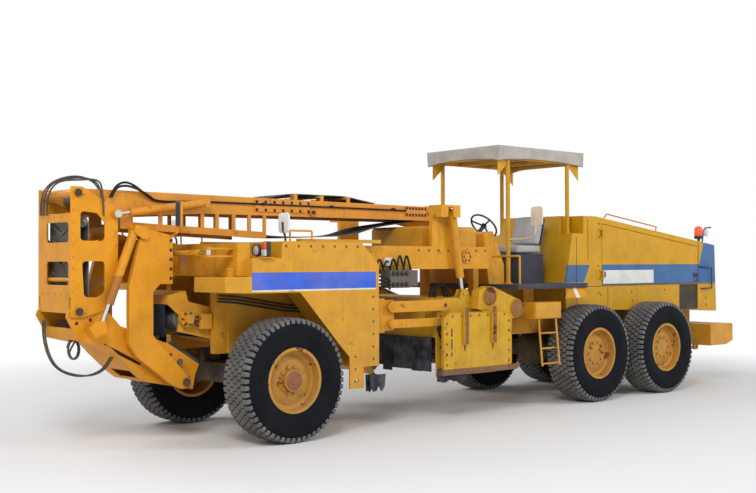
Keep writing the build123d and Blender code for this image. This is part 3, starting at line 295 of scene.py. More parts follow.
def tube(name: str, route: Iterable[Point], radius: float, curved: bool = True, origin: float = FRONT_AXLE) -> Piece:
    """Add a pipe or hose along a route.

    Args:
        name: The piece's name.
        route: Points along it.
        radius: The pipe's radius.
        curved: Whether the route bends smoothly, or in straight runs with small elbows.
        origin: Where station 0 lies in the frame; 0 for points of the frame.

    Returns:
        The piece, as a mesh.
    """
    piece = fresh(bpy.ops.curve.primitive_nurbs_path_add)
    curve = piece.data
    curve.splines.clear()
    points = [Vector((x + origin, y, z)) for x, y, z in route]
    if not curved:
        points = with_elbows(points, radius * 3)
    spline = curve.splines.new("NURBS")
    spline.points.add(len(points) - 1)
    for spot, place in zip(spline.points, points):
        spot.co = (*place, 1)
    spline.order_u = 3
    spline.use_endpoint_u = True
    curve.dimensions = "3D"
    curve.resolution_u = 5
    curve.bevel_depth = radius
    curve.bevel_resolution = 2
    curve.use_fill_caps = True
    activate(piece)
    bpy.ops.object.convert(target="MESH")
    bpy.ops.object.shade_smooth()
    return settle(bpy.context.object, name)


def coil(middle: Point, wide: float, tall: float, rise: float, count: int) -> list[Point]:
    """Return the points of a hose coiled about an axis along Y.

    Args:
        middle: Where its axis starts.
        wide: Its radius along the machine.
        tall: Its radius upwards.
        rise: How far it moves along Y for each radian.
        count: How many points, half a radian apart.

    Returns:
        The points.
    """
    x, y, z = middle
    angles = (number * 0.5 for number in range(count))
    return [(x + wide * math.cos(a), y + rise * a, z + tall * math.sin(a)) for a in angles]


def scatter(name: str, model: Piece, places: Iterable[Matrix]) -> Piece:
    """Join copies of one model into a piece and drop the model.

    Args:
        name: The piece's name.
        model: The object that repeats.
        places: Where each copy goes.

    Returns:
        The piece.
    """
    corners = [v.co.copy() for v in model.data.vertices]
    loops = [tuple(p.vertices) for p in model.data.polygons]
    smooth = [p.use_smooth for p in model.data.polygons]
    vertices: list[Vector] = []
    faces: list[tuple[int, ...]] = []
    flags: list[bool] = []
    for place in places:
        start = len(vertices)
        vertices.extend(place @ corner for corner in corners)
        faces.extend(tuple(i + start for i in loop) for loop in loops)
        flags.extend(smooth)
    mesh = bpy.data.meshes.new(name)
    mesh.from_pydata(vertices, [], faces)
    mesh.polygons.foreach_set("use_smooth", flags)
    piece = bpy.data.objects.new(name, mesh)
    bpy.context.scene.collection.objects.link(piece)
    bpy.data.objects.remove(model)
    return piece


def merged(name: str, pieces: Sequence[Piece]) -> Piece:
    """Join several pieces into one.

    Args:
        name: The result's name.
        pieces: Meshes to join.

    Returns:
        The joined piece.
    """
    activate(pieces[0])
    for piece in pieces:
        piece.select_set(True)
    if len(pieces) > 1:
        bpy.ops.object.join()
    return settle(bpy.context.object, name)


def copied(piece: Piece, place: Matrix) -> Piece:
    """Copy a piece with its own mesh.

    Args:
        piece: The piece to copy.
        place: Where the copy's mesh is moved; a mirror keeps its faces outwards.

    Returns:
        The copy.
    """
    twin = piece.copy()
    twin.data = piece.data.copy()
    twin.data.transform(place)
    if place.determinant() < 0:
        twin.data.flip_normals()
    bpy.context.scene.collection.objects.link(twin)
    return twin


def on_both_sides(name: str, pieces: Sequence[Piece]) -> Piece:
    """Join pieces of the left side with their mirror images into one piece, and return it."""
    left = merged(name, pieces)
    return merged(name, [left, copied(left, MIRRORED)])


def row(start: Point, end: Point, count: int) -> list[Point]:
    """Return evenly spaced points of the frame from start to end, both included."""
    first, last = Vector(at(*start)), Vector(at(*end))
    return [tuple(first.lerp(last, i / (count - 1))) for i in range(count)]


def circle(middle: Point, radius: float, count: int) -> list[Point]:
    """Space points evenly on a circle that faces sideways.

    Args:
        middle: Its middle, by station.
        radius: Its radius.
        count: How many points.

    Returns:
        Points of the frame.
    """
    x, y, z = middle
    angles = (number * math.tau / count for number in range(count))
    return [at(x + radius * math.cos(a), y, z + radius * math.sin(a)) for a in angles]


def bolts(name: str, spots: Iterable[Point], radius: float, height: float, normal: Point = LEFT) -> Piece:
    """Add hexagon bolt heads with washers.

    Args:
        name: The piece's name.
        spots: Points of the frame where they stand.
        radius: The head's radius.
        height: The head's height.
        normal: The way that they point.

    Returns:
        One piece.
    """
    add = bpy.ops.mesh.primitive_cylinder_add
    head = settle(fresh(add, vertices=6, radius=radius, depth=height, location=(0, 0, height / 2)), name + "_head")
    rounded(head, radius * 0.16, 1)
    washer = settle(fresh(add, vertices=12, radius=radius * 1.5, depth=height * 0.3), name + "_washer")
    turn = Vector(normal).to_track_quat("Z", "Y").to_matrix().to_4x4()
    return scatter(name, merged(name + "_model", [head, washer]), [Matrix.Translation(spot) @ turn for spot in spots])


# ---------------------------------------------------------------- finishes
FINISH = "finish_"             # starts every finish's name, apart from the names that the frame brings
RUST = srgb(92, 48, 26)
DUST = srgb(150, 132, 106)
GRIME = srgb(70, 52, 30)
SUN_FADED = srgb(214, 172, 92)
COLOUR, FLOAT, VECTOR = "NodeSocketColor", "NodeSocketFloat", "NodeSocketVector"
WHITE_SOCKET = (1, 1, 1, 1)


class Sheet:
    """A node tree being drawn, with short calls for the nodes that every finish uses."""

    def __init__(self, tree: bpy.types.NodeTree) -> None:
        """Start on a tree."""
        self.tree = tree

    def feed(self, target: Socket, value: object) -> None:
        """Set an input.

        Args:
            target: The input.
            value: A socket to link, a plain value or a colour.
        """
        if isinstance(value, Socket):
            self.tree.links.new(value, target)
        elif isinstance(value, tuple) and len(value) == 3 and target.type == "RGBA":
            target.default_value = (*value, 1)
        else:
            target.default_value = value

    def fill(self, node: bpy.types.Node, inputs: dict[str | int, object]) -> None:
        """Set several of a node's inputs, by name or number."""
        for key, value in inputs.items():
            self.feed(node.inputs[key], value)

    def node(self, kind: str, inputs: dict[str | int, object] | None = None, **settings: object) -> bpy.types.Node:
        """Add a shader node.

        Args:
            kind: Its type, without ShaderNode in front.
            inputs: What goes into it, by name or number.
            **settings: Its properties.

        Returns:
            The node.
        """
        made = self.tree.nodes.new("ShaderNode" + kind)
        for key, value in settings.items():
            setattr(made, key, value)
        self.fill(made, inputs or {})
        return made

    def own(self, kind: str) -> bpy.types.Node:
        """Return the node of a type that the tree started with."""
        return next(node for node in self.tree.nodes if node.type == kind)

    def math(self, operation: str, first: object, second: object = 0.0) -> Socket:
        """Add a Math node and return its value."""
        return self.node("Math", {0: first, 1: second}, operation=operation).outputs[0]

    def times(self, first: object, second: object) -> Socket:
        """Return the product of two values."""
        return self.math("MULTIPLY", first, second)

    def plus(self, first: object, second: object) -> Socket:
        """Return the sum of two values."""
        return self.math("ADD", first, second)

    def span(self, value: object, low: float, high: float, to_low: float = 0.0, to_high: float = 1.0) -> Socket:
        """Map a value from one range to another, held at its ends."""
        return self.node("MapRange", {"Value": value, "From Min": low, "From Max": high, "To Min": to_low,
                                      "To Max": to_high}).outputs[0]

    def mix(self, share: object, first: object, second: object) -> Socket:
        """Mix two colours and return the colour."""
        return self.node("Mix", {0: share, 6: first, 7: second}, data_type="RGBA").outputs[2]

    def blend(self, output: str, share: object, first: Socket, second: Socket) -> None:
        """Mix two shaders and feed them to the tree's output node, given by its type."""
        mixed = self.node("MixShader", {0: share, 1: first, 2: second})
        self.feed(self.own(output).inputs["Surface"], mixed.outputs[0])

    def noise(self, vector: object, scale: float, detail: float = 4.0, stretch: Point = (1, 1, 1)) -> Socket:
        """Add noise on a vector.

        Args:
            vector: Where the noise is read.
            scale: Its scale.
            detail: Its detail.
            stretch: Scale along each axis.

        Returns:
            The noise's value.
        """
        mapping = self.node("Mapping", {"Vector": vector, "Scale": stretch})
        return self.node("TexNoise", {"Vector": mapping.outputs[0], "Scale": scale, "Detail": detail,
                                      "Roughness": 0.6}).outputs[0]


def new_group(name: str, inputs: Sequence[tuple[str, str, object]], outputs: Sequence[tuple[str, str]]) -> tuple[
        Sheet, bpy.types.NodeOutputs, bpy.types.NodeInputs]:
    """Start a shader node group.

    Args:
        name: The group's name.
        inputs: Name, socket kind and starting value of each input.
        outputs: Name and socket kind of each output.

    Returns:
        A sheet on its tree, the sockets that it is given and the sockets that it gives back.
    """
    tree = bpy.data.node_groups.new(name, "ShaderNodeTree")
    for label, kind, value in inputs:
        socket = tree.interface.new_socket(name=label, in_out="INPUT", socket_type=kind)
        if value is not None:
            socket.default_value = value
    for label, kind in outputs:
        tree.interface.new_socket(name=label, in_out="OUTPUT", socket_type=kind)
    return Sheet(tree), tree.nodes.new("NodeGroupInput").outputs, tree.nodes.new("NodeGroupOutput").inputs


def weather_group() -> bpy.types.NodeTree:
    """Build the group that fades, streaks, dusts and rusts a colour, once.

    Returns:
        The group.
    """
    if "weather" in bpy.data.node_groups:
        return bpy.data.node_groups["weather"]
    s, given, made = new_group(
        "weather",
        [("Vector", VECTOR, None), ("Color", COLOUR, WHITE_SOCKET), ("Fade", FLOAT, 0.5), ("Rust", FLOAT, 0.4),
         ("Dust", FLOAT, 0.4), ("Roughness", FLOAT, 0.45)],
        [("Color", COLOUR), ("Roughness", FLOAT), ("Height", FLOAT)],
    )
    spot, rust = given["Vector"], given["Rust"]
    broad = s.span(s.noise(spot, 1.1, 5), 0.35, 0.68)
    faded = s.mix(s.times(broad, s.times(given["Fade"], 0.38)), given["Color"], SUN_FADED)
    cloud = s.span(s.noise(spot, 4.2, 6), 0.42, 0.72)
    shaded = s.mix(s.times(cloud, 0.22), faded, GRIME)
    streak = s.span(s.noise(spot, 2.4, 5, (6, 6, 0.5)), 0.56, 0.74)
    streaked = s.mix(s.times(streak, s.times(rust, 0.55)), shaded, GRIME)
    low = s.span(s.node("SeparateXYZ", {0: spot}).outputs["Z"], 1.7, 0.35)
    powder = s.times(s.plus(s.times(low, 0.8), 0.15), s.span(s.noise(spot, 3.1, 8), 0.3, 0.7))
    dusty = s.mix(s.times(powder, given["Dust"]), streaked, DUST)
    patch = s.noise(spot, 6.5, 9)
    blotch = s.times(s.span(s.plus(patch, s.times(rust, 0.13)), 0.70, 0.745), rust)
    chip = s.times(s.span(s.plus(s.noise(spot, 42.0, 4), s.times(patch, 0.35)), 0.86, 0.90),
                   s.math("MINIMUM", s.times(rust, 2.0), 1.0))
    worn = s.math("MINIMUM", s.plus(blotch, chip), 1.0)
    s.feed(made["Color"], s.mix(worn, dusty, RUST))
    s.feed(made["Roughness"], s.math("MINIMUM", s.plus(given["Roughness"], s.times(s.plus(worn, powder), 0.3)), 0.95))
    s.feed(made["Height"], s.math("SUBTRACT", s.times(s.noise(spot, 90.0, 2), 0.15), worn))
    return s.tree


def grain_group() -> bpy.types.NodeTree:
    """Build the group that mottles rubber or vinyl and gives it a fine grain, once.

    Returns:
        The group.
    """
    if "grain" in bpy.data.node_groups:
        return bpy.data.node_groups["grain"]
    s, given, made = new_group(
        "grain",
        [("Vector", VECTOR, None), ("Color", COLOUR, WHITE_SOCKET), ("Worn", COLOUR, WHITE_SOCKET),
         ("Amount", FLOAT, 0.5), ("Scale", FLOAT, 120.0)],
        [("Color", COLOUR), ("Height", FLOAT)],
    )
    patch = s.times(s.span(s.noise(given["Vector"], 5.0, 7), 0.4, 0.72), given["Amount"])
    s.feed(made["Color"], s.mix(patch, given["Color"], given["Worn"]))
    fine = s.node("TexNoise", {"Detail": 3, "Vector": given["Vector"], "Scale": given["Scale"]})
    s.feed(made["Height"], fine.outputs[0])
    return s.tree


def new_finish(name: str) -> tuple[bpy.types.Material, Sheet, bpy.types.Node, Socket]:
    """Start a material.

    Args:
        name: The material's name.

    Returns:
        The material, a sheet on its tree, its shader node and the Object coordinates.
    """
    material = bpy.data.materials.new(FINISH + name)
    material.use_nodes = True
    sheet = Sheet(material.node_tree)
    return material, sheet, sheet.own("BSDF_PRINCIPLED"), sheet.node("TexCoord").outputs["Object"]


def raise_bump(sheet: Sheet, shader: bpy.types.Node, height: Socket, depth: float) -> None:
    """Feed a height to the shader's normal through a Bump node of a given depth in metres."""
    bump = sheet.node("Bump", {"Strength": 0.6, "Distance": depth, "Height": height})
    sheet.feed(shader.inputs["Normal"], bump.outputs[0])


@dataclass(frozen=True)
class Band:
    """A painted band on the machine's sides, its ends slanted by so much per metre of height."""

    start: float
    end: float
    low: float
    high: float
    colour: Colour
    out: float = 0.0
    slant_start: float = 0.0
    slant_end: float = 0.0

    def mask(self, s: Sheet, x: Socket, y: Socket, z: Socket) -> Socket:
        """Mask the band.

        Args:
            s: The material's sheet.
            x: Place along the machine.
            y: Place across it.
            z: Height.

        Returns:
            The value that is 1 on the band and 0 off it.
        """
        near, far = (s.math("SUBTRACT", s.math("SUBTRACT", x, station + FRONT_AXLE), s.times(z, slant))
                     for station, slant in ((self.start, self.slant_start), (self.end, self.slant_end)))
        result = s.math("GREATER_THAN", near, 0.0)
        for check, value, limit in (("LESS_THAN", far, 0.0), ("GREATER_THAN", z, self.low), ("LESS_THAN", z, self.high),
                                    ("GREATER_THAN", s.math("ABSOLUTE", y), self.out)):
            result = s.times(result, s.math(check, value, limit))
        return result


@dataclass(frozen=True)
class Paint:
    """Enamel on steel, faded, streaked, dusty and rusting, with painted bands."""

    name: str
    colour: Colour
    fade: float = 0.5
    rust: float = 0.4
    dust: float = 0.4
    roughness: float = 0.42
    metallic: float = 0.0
    gloss: float = 0.28
    bands: tuple[Band, ...] = ()

    def build(self) -> bpy.types.Material:
        """Build the material.

        Returns:
            The material.
        """
        material, s, shader, spot = new_finish(self.name)
        colour: object = self.colour
        if self.bands:
            parts = s.node("SeparateXYZ", {0: spot})
            for band in self.bands:
                colour = s.mix(band.mask(s, *parts.outputs), colour, band.colour)
        weather = s.node("Group", {"Vector": spot, "Color": colour, "Fade": self.fade, "Rust": self.rust,
                                   "Dust": self.dust, "Roughness": self.roughness}, node_tree=weather_group())
        s.fill(shader, {"Base Color": weather.outputs["Color"], "Roughness": weather.outputs["Roughness"],
                        "Metallic": self.metallic, "Specular IOR Level": self.gloss})
        raise_bump(s, shader, weather.outputs["Height"], 0.0012)
        return material


@dataclass(frozen=True)
class Soft:
    """Rubber, vinyl or canvas: a mottled colour with a fine grain."""

    name: str
    colour: Colour
    worn: Colour
    amount: float = 0.5
    scale: float = 140.0
    roughness: float = 0.75
    depth: float = 0.0012
    lining: Colour | None = None

    def build(self) -> bpy.types.Material:
        """Build the material.

        Returns:
            The material.
        """
        material, s, shader, spot = new_finish(self.name)
        grain = s.node("Group", {"Vector": spot, "Color": self.colour, "Worn": self.worn, "Amount": self.amount,
                                 "Scale": self.scale}, node_tree=grain_group())
        colour = grain.outputs["Color"]
        if self.lining is not None:
            colour = s.mix(s.node("NewGeometry").outputs["Backfacing"], colour, self.lining)
        s.fill(shader, {"Base Color": colour, "Roughness": self.roughness, "Specular IOR Level": 0.12})
        raise_bump(s, shader, grain.outputs["Height"], self.depth)
        return material


@dataclass(frozen=True)
class Clear:
    """Glass, mirror or a lamp's lens, tinted."""

    name: str
    colour: Colour
    transmission: float
    roughness: float
    metallic: float = 0.0
    glow: float = 0.0

    def build(self) -> bpy.types.Material:
        """Build the material.

        Returns:
            The material.
        """
        material, s, shader, spot = new_finish(self.name)
        smear = s.span(s.noise(spot, 9.0, 6), 0.4, 0.7, self.roughness, self.roughness + 0.2)
        dusty = s.mix(s.span(s.noise(spot, 14.0, 5), 0.5, 0.8, 0.0, 0.25), self.colour, DUST)
        s.fill(shader, {"Roughness": smear, "Base Color": dusty, "Transmission Weight": self.transmission,
                        "Metallic": self.metallic, "Emission Color": self.colour, "Emission Strength": self.glow})
        return material


BLUE = srgb(14, 92, 214)
HOOD_BLUE = srgb(34, 98, 156)
YELLOW = srgb(216, 148, 6)
BOOM_YELLOW = srgb(222, 146, 4)


class Coat(Enum):
    """Every finish on the machine."""

    BODY = Paint("body_yellow", srgb(211, 150, 28), fade=0.6, rust=0.32, dust=0.22, bands=(
        Band(-1.172, 0.545, 1.652, 1.838, BLUE, out=1.195),
        Band(-1.172, 0.545, 1.634, 1.6525, srgb(226, 222, 208), out=1.195),
    ))
    FRAME = Paint("frame_yellow", YELLOW, fade=0.4, rust=0.55, dust=0.5)
    SMOOTH = Paint("boom_yellow", BOOM_YELLOW, fade=0.25, rust=0.25, dust=0.12)
    LIFT = Paint("lift_yellow", BOOM_YELLOW, fade=0.3, rust=0.4, dust=0.15, bands=(
        Band(1.30, 2.10, 1.30, 1.815, srgb(172, 104, 34)),
    ))
    ORANGE = Paint("boom_orange", srgb(216, 138, 24), fade=0.5, rust=0.4, dust=0.3)
    CUTTER = Paint("cutter_yellow", srgb(208, 158, 6), fade=0.2, rust=0.55, dust=0.3, bands=(
        Band(-3.60, -2.10, 0.56, 0.645, srgb(112, 74, 52), out=1.18),
    ))
    HOOD = Paint("hood_yellow", srgb(203, 150, 6), fade=0.22, rust=0.14, dust=0.2, bands=(
        Band(-8.95, -5.885, 1.60, 1.905, HOOD_BLUE, out=0.78),
        Band(-8.95, -8.43, 1.90, 1.95, HOOD_BLUE, out=0.78),
        Band(-8.95, -7.679, 1.945, 2.30, HOOD_BLUE, out=0.78, slant_end=-0.385),
        Band(-4.5955, -4.90, 1.652, 1.902, HOOD_BLUE, out=0.78, slant_start=-0.53),
    ))
    RUSTY = Paint("rusty_plate", srgb(136, 84, 44), fade=0.5, rust=0.95, dust=0.6, roughness=0.7)
    RIM = Paint("rim_yellow", srgb(190, 132, 34), fade=0.35, rust=0.85, dust=0.4)
    HUB = Paint("hub_red", srgb(140, 72, 46), fade=0.3, rust=0.75, dust=0.4, roughness=0.6)
    DARK = Paint("chassis_black", srgb(44, 42, 42), fade=0.05, rust=0.35, dust=0.7, roughness=0.55)
    GREY = Paint("engine_grey", srgb(92, 88, 82), fade=0.1, rust=0.5, dust=0.6, roughness=0.55)
    STEEL = Paint("worn_steel", srgb(104, 84, 68), fade=0.1, rust=0.85, dust=0.6, roughness=0.5, metallic=0.6)
    CHROME = Paint("rod_chrome", srgb(214, 214, 212), fade=0.0, rust=0.05, dust=0.12, roughness=0.14, metallic=1.0)
    DECK = Paint("deck_blue", srgb(46, 52, 72), fade=0.1, rust=0.5, dust=0.5, roughness=0.6, bands=(
        Band(-5.20, -3.50, 1.10, 1.586, YELLOW),
    ))
    CONSOLE = Paint("console_yellow", YELLOW, fade=0.4, rust=0.45, dust=0.4, bands=(
        Band(-4.25, -3.82, 2.265, 2.70, srgb(24, 32, 50)),
    ))
    SEAT_SHELL = Paint("seat_blue", srgb(38, 58, 84), fade=0.1, rust=0.1, dust=0.3, roughness=0.5)
    WHITE = Paint("white_box", srgb(222, 222, 216), fade=0.05, rust=0.08, dust=0.4)
    MIRROR_BACK = Paint("mirror_beige", srgb(214, 198, 178), fade=0.1, rust=0.2, dust=0.4)
    BEACON_STAND = Paint("stand_blue", srgb(64, 110, 160), fade=0.1, rust=0.25, dust=0.2)
    TYRE = Soft("tyre_rubber", srgb(15, 18, 24), srgb(44, 44, 48), amount=0.25, scale=90, roughness=0.8)
    TREAD = Soft("tread_rubber", srgb(98, 98, 98), srgb(134, 128, 120), amount=0.7, scale=90, roughness=0.9)
    BELT = Soft("belt_rubber", srgb(96, 94, 90), srgb(142, 138, 128), amount=0.6, scale=70, roughness=0.85)
    HOSE = Soft("hose_grey", srgb(74, 70, 66), srgb(128, 118, 104), amount=0.6, scale=120, roughness=0.7)
    NAVY = Soft("curtain_navy", srgb(30, 38, 56), srgb(66, 74, 92), amount=0.5, scale=40, roughness=0.6)
    BLACK = Soft("black_rubber", srgb(30, 31, 34), srgb(74, 70, 66), amount=0.35, scale=110, roughness=0.6)
    FLAP = Soft("flap_rubber", srgb(46, 50, 58), srgb(120, 122, 122), amount=0.6, scale=40, roughness=0.7)
    CANVAS = Soft("canopy_canvas", srgb(178, 172, 164), srgb(142, 136, 128), amount=0.6, scale=700, roughness=0.85,
                  depth=0.0006, lining=srgb(206, 176, 138))
    VINYL = Soft("seat_vinyl", srgb(176, 176, 178), srgb(140, 138, 138), amount=0.5, scale=260, roughness=0.6)
    MIRROR = Clear("mirror_glass", srgb(205, 212, 214), transmission=0.0, roughness=0.04, metallic=1.0)
    LENS = Clear("lamp_lens", srgb(236, 238, 236), transmission=0.35, roughness=0.1)
    AMBER = Clear("amber_lens", srgb(246, 104, 24), transmission=0.25, roughness=0.15)
    BEACON = Clear("beacon_lens", srgb(250, 92, 30), transmission=0.2, roughness=0.2, glow=0.1)

    def material(self) -> bpy.types.Material:
        """Return the finish's material, built once."""
        return bpy.data.materials.get(FINISH + self.value.name) or self.value.build()


def dress(piece: Piece, coat: Coat) -> Piece:
    """Give a piece one finish.

    Args:
        piece: The piece.
        coat: Its finish.

    Returns:
        The same piece.
    """
    piece.data.materials.clear()
    piece.data.materials.append(coat.material())
    return piece


def mount(piece: Piece, body: str, coat: Coat | None = None) -> Piece:
    """Dress a piece, hang it on a body and report it.

    Args:
        piece: The piece.
        body: The body that it rides on.
        coat: Its finish, if it has none yet.

    Returns:
        The same piece.
    """
    if coat is not None:
        dress(piece, coat)
    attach(piece, body)
    LOG.info("%s on %s", piece.name, body)
    return piece


def pair(name: str, pieces: Sequence[Piece], body: str, coat: Coat | None = None) -> Piece:
    """Join pieces of the left side with their mirror images and mount the result; see mount for the rest."""
    return mount(on_both_sides(name, pieces), body, coat)


# ---------------------------------------------------------------- studio
@dataclass
class Studio:
    """Pale floor, white surroundings, soft lights and the camera."""

    floor_size: float = 160.0
    clear: float = 6.0            # the floor starts to turn white this far out
    gone: float = 11.5            # and is all white from here
    sky: float = 0.50
    target: Point = (0, 0, 1.2)
    lens: float = 52.17
    eye: Point = (10.4225, 10.689, 1.923)
    yaw: float = -131.12
    pitch: float = 0.92
    roll: float = -0.20
    lights: tuple[tuple[Point, float, float], ...] = (
        ((11.0, 9.0, 9.5), 4.0, 930.0), ((-7.0, 12.0, 8.0), 5.0, 700.0), ((6.0, -9.0, 8.5), 6.0, 380.0),
    )

    def build(self) -> None:
        """Add the floor, the world, the lights and the camera."""
        self.floor()
        self.world()
        for number, (place, size, power) in enumerate(self.lights):
            self.light(f"soft_{number}", place, size, power)
        self.camera()

    def floor(self) -> None:
        """Lay the floor, which turns into plain white away from the machine, so that no horizon shows."""
        floor = settle(fresh(bpy.ops.mesh.primitive_plane_add, size=self.floor_size), "studio_floor")
        material, s, shader, spot = new_finish("studio_floor")
        s.fill(shader, {"Base Color": (0.86, 0.86, 0.85), "Roughness": 0.9, "Specular IOR Level": 0.1})
        distance = s.node("VectorMath", {0: spot}, operation="LENGTH").outputs["Value"]
        share = s.node("MapRange", {"From Min": self.clear, "From Max": self.gone, "Value": distance},
                       interpolation_type="SMOOTHSTEP").outputs["Result"]
        white = s.node("Emission", {"Color": (1, 1, 1), "Strength": 1.0})
        s.blend("OUTPUT_MATERIAL", share, shader.outputs[0], white.outputs[0])
        floor.data.materials.append(material)

    def world(self) -> None:
        """Light softly from all round, with a white background for the camera, for metal and for glass."""
        world = bpy.data.worlds.new("studio")
        bpy.context.scene.world = world
        world.use_nodes = True
        s = Sheet(world.node_tree)
        sky = s.node("Background", {"Color": (0.93, 0.96, 1.0), "Strength": self.sky})
        white = s.node("Background", {"Color": (1, 1, 1), "Strength": 1.0})
        rays = s.node("LightPath").outputs
        beyond = s.math("MAXIMUM", rays["Is Glossy Ray"], rays["Is Transmission Ray"])
        seen = s.math("MAXIMUM", rays["Is Camera Ray"], beyond)
        s.blend("OUTPUT_WORLD", seen, sky.outputs[0], white.outputs[0])

    def light(self, name: str, place: Point, size: float, power: float) -> None:
        """Hang one area light that looks at the machine's middle.

        Args:
            name: Its name.
            place: Where it hangs.
            size: Side of its square.
            power: Its power in watts.
        """
        turn = (Vector(self.target) - Vector(place)).to_track_quat("-Z", "Y").to_euler()
        lamp = fresh(bpy.ops.object.light_add, type="AREA", location=place, rotation=turn)
        lamp.name = name
        lamp.data.size = size
        lamp.data.energy = power

    def camera(self) -> None:
        """Place the camera."""
        camera = fresh(bpy.ops.object.camera_add, location=self.eye)
        yaw, pitch = math.radians(self.yaw), math.radians(self.pitch)
        way = Vector((math.cos(yaw) * math.cos(pitch), math.sin(yaw) * math.cos(pitch), math.sin(pitch)))
        turn = way.to_track_quat("-Z", "Y") @ Matrix.Rotation(math.radians(self.roll), 4, "Z").to_quaternion()
        camera.rotation_euler = turn.to_euler()
        camera.data.lens = self.lens
        camera.data.sensor_width = 36.0
        bpy.context.scene.camera = camera


# ---------------------------------------------------------------- wheels
@dataclass
class Wheels:
    """Six tyres with hexagonal tread blocks, and the small parts on their rims."""

    radius: float = 0.674
    half_width: float = 0.220
    track: float = 1.032
    groove: float = 0.018
    bead: float = 0.338
    rows: tuple[float, ...] = (-0.156, -0.094, -0.032, 0.032, 0.094, 0.156)
    per_row: int = 56
    shoulder: float = 0.1885
    flare: float = 1.16
    axles: tuple[tuple[str, float], ...] = (("front", 0.0), ("middle", -5.273), ("rear", -6.875))
    studs: int = 10
    stud_circle: float = 0.147
    disc: float = 0.098

    def carcass(self) -> Piece:
        """Turn the tyre's body from its section.

        Returns:
            The piece.
        """
        r, w, g, b = self.radius, self.half_width, self.groove, self.bead
        half = [
            (r - g, 0.0), (r - g, w * 0.55), (r - g - 0.006, w * 0.78), (r - g - 0.018, w * 0.88),
            (r - 0.052, w * 0.935), (r - 0.075, w * 0.955), (r - 0.082, w * 0.985), (r - 0.092, w * 0.99),
            (r - 0.112, w * 0.997), (r - 0.16, w), (r - 0.205, w * 0.995), (r - 0.212, w * 0.98),
            (r - 0.245, w * 0.955), (r - 0.282, w * 0.90), (b + 0.026, w * 0.85), (b + 0.020, w * 0.865),
            (b + 0.010, w * 0.86), (b, w * 0.83), (b, w * 0.76),
        ]
        section = half + [(b + 0.012, w * 0.70), (b + 0.012, -w * 0.70)]
        section += [(radius, -y) for radius, y in reversed(half[1:])]
        tyre = activate(lathe("tyre_carcass", section, 84))
        bpy.ops.object.shade_smooth_by_angle(angle=SMOOTH_ANGLE)
        return dress(tyre, Coat.TYRE)

    def block(self, width: float, drop: float) -> Piece:
        """Build one tread block.

        Args:
            width: Half its width at the top.
            drop: How far its top lies under the tyre's radius.

        Returns:
            The piece.
        """
        block = fresh(bpy.ops.mesh.primitive_cylinder_add, vertices=6, radius=1, depth=1)
        top, foot = self.radius - drop, self.radius - self.groove - 0.012 - drop
        for vertex in block.data.vertices:
            x, y, z = vertex.co
            flare = 1.0 if z > 0 else self.flare
            vertex.co = (y * width * flare, x * 0.0335 * flare, top if z > 0 else foot)
        return rounded(settle(block, "tread_block"), 0.005, 2)

    def shoulder_block(self, side: int) -> Piece:
        """Build one block of a shoulder, whose foot is narrower and lies further out.

        Args:
            side: 1 for the left shoulder, -1 for the right.

        Returns:
            The piece.
        """
        model = box("shoulder_block", (-0.026, -0.015, self.radius - 0.062), (0.026, 0.015, self.radius - 0.013), 0.0)
        for vertex in model.data.vertices:
            if vertex.co.z < self.radius - 0.03:
                vertex.co.y += side * 0.011
                vertex.co.x *= 0.8
        return rounded(model, 0.005, 2)

    def ring(self, model: Piece, y: float, turn: float) -> Piece:
        """Set a row of blocks round the tyre.

        Args:
            model: The block to repeat.
            y: Where the row lies across the tyre.
            turn: Share of a block's pitch by which it is turned on.

        Returns:
            The row.
        """
        pitch = math.tau / self.per_row
        return scatter("tread_row", model, [Matrix.Rotation(pitch * (i + turn), 4, "Y") @ Matrix.Translation((0, y, 0))
                                            for i in range(self.per_row)])

    def blocks(self) -> Piece:
        """Build all the tread blocks of one tyre.

        Returns:
            The piece.
        """
        pieces = []
        for number, y in enumerate(self.rows):
            edge = number in (0, len(self.rows) - 1)
            model = self.block(0.030, 0.004) if edge else self.block(0.0335, 0.0)
            pieces.append(self.ring(model, y, 0.5 * (number % 2)))
        for side, turn in ((-1, 0.0), (1, 0.5)):
            pieces.append(self.ring(self.shoulder_block(side), side * self.shoulder, turn))
        return dress(merged("tread_blocks", pieces), Coat.TREAD)

    def fittings(self) -> Piece:
        """Build the wheel nuts, their washers and the valve of a left wheel.

        Returns:
            The piece.
        """
        angles = (math.tau * number / self.studs for number in range(self.studs))
        spots = [(self.stud_circle * math.cos(a), self.disc, self.stud_circle * math.sin(a)) for a in angles]
        nuts = dress(bolts("wheel_nuts", spots, 0.016, 0.026), Coat.DARK)
        stem = [(0.20, self.disc, 0.20), (0.20, 0.12, 0.205), (0.205, 0.13, 0.225)]
        return merged("wheel_studs", [nuts, dress(tube("valve", stem, 0.005, origin=0.0), Coat.BLACK)])

    def build(self) -> None:
        """Place the six tyres and studs."""
        tyre = merged("tyre_model", [self.carcass(), self.blocks()])
        studs = self.fittings()
        for axle, station in self.axles:
            for word, side in SIDES:
                place = Matrix.Translation(at(station, side * self.track, self.radius))
                if side < 0:
                    place = place @ MIRRORED
                rubber = copied(tyre, place)
                rubber.name = f"tyre_{axle}_{word}_rubber"
                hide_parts(f"tyre_{axle}_{word}")
                mount(rubber, f"wheel_{axle}_{word}")
                nuts = copied(studs, place)
                nuts.name = f"wheel_nuts_{axle}_{word}"
                mount(nuts, f"wheel_{axle}_{word}")
        bpy.data.objects.remove(tyre)
        bpy.data.objects.remove(studs)


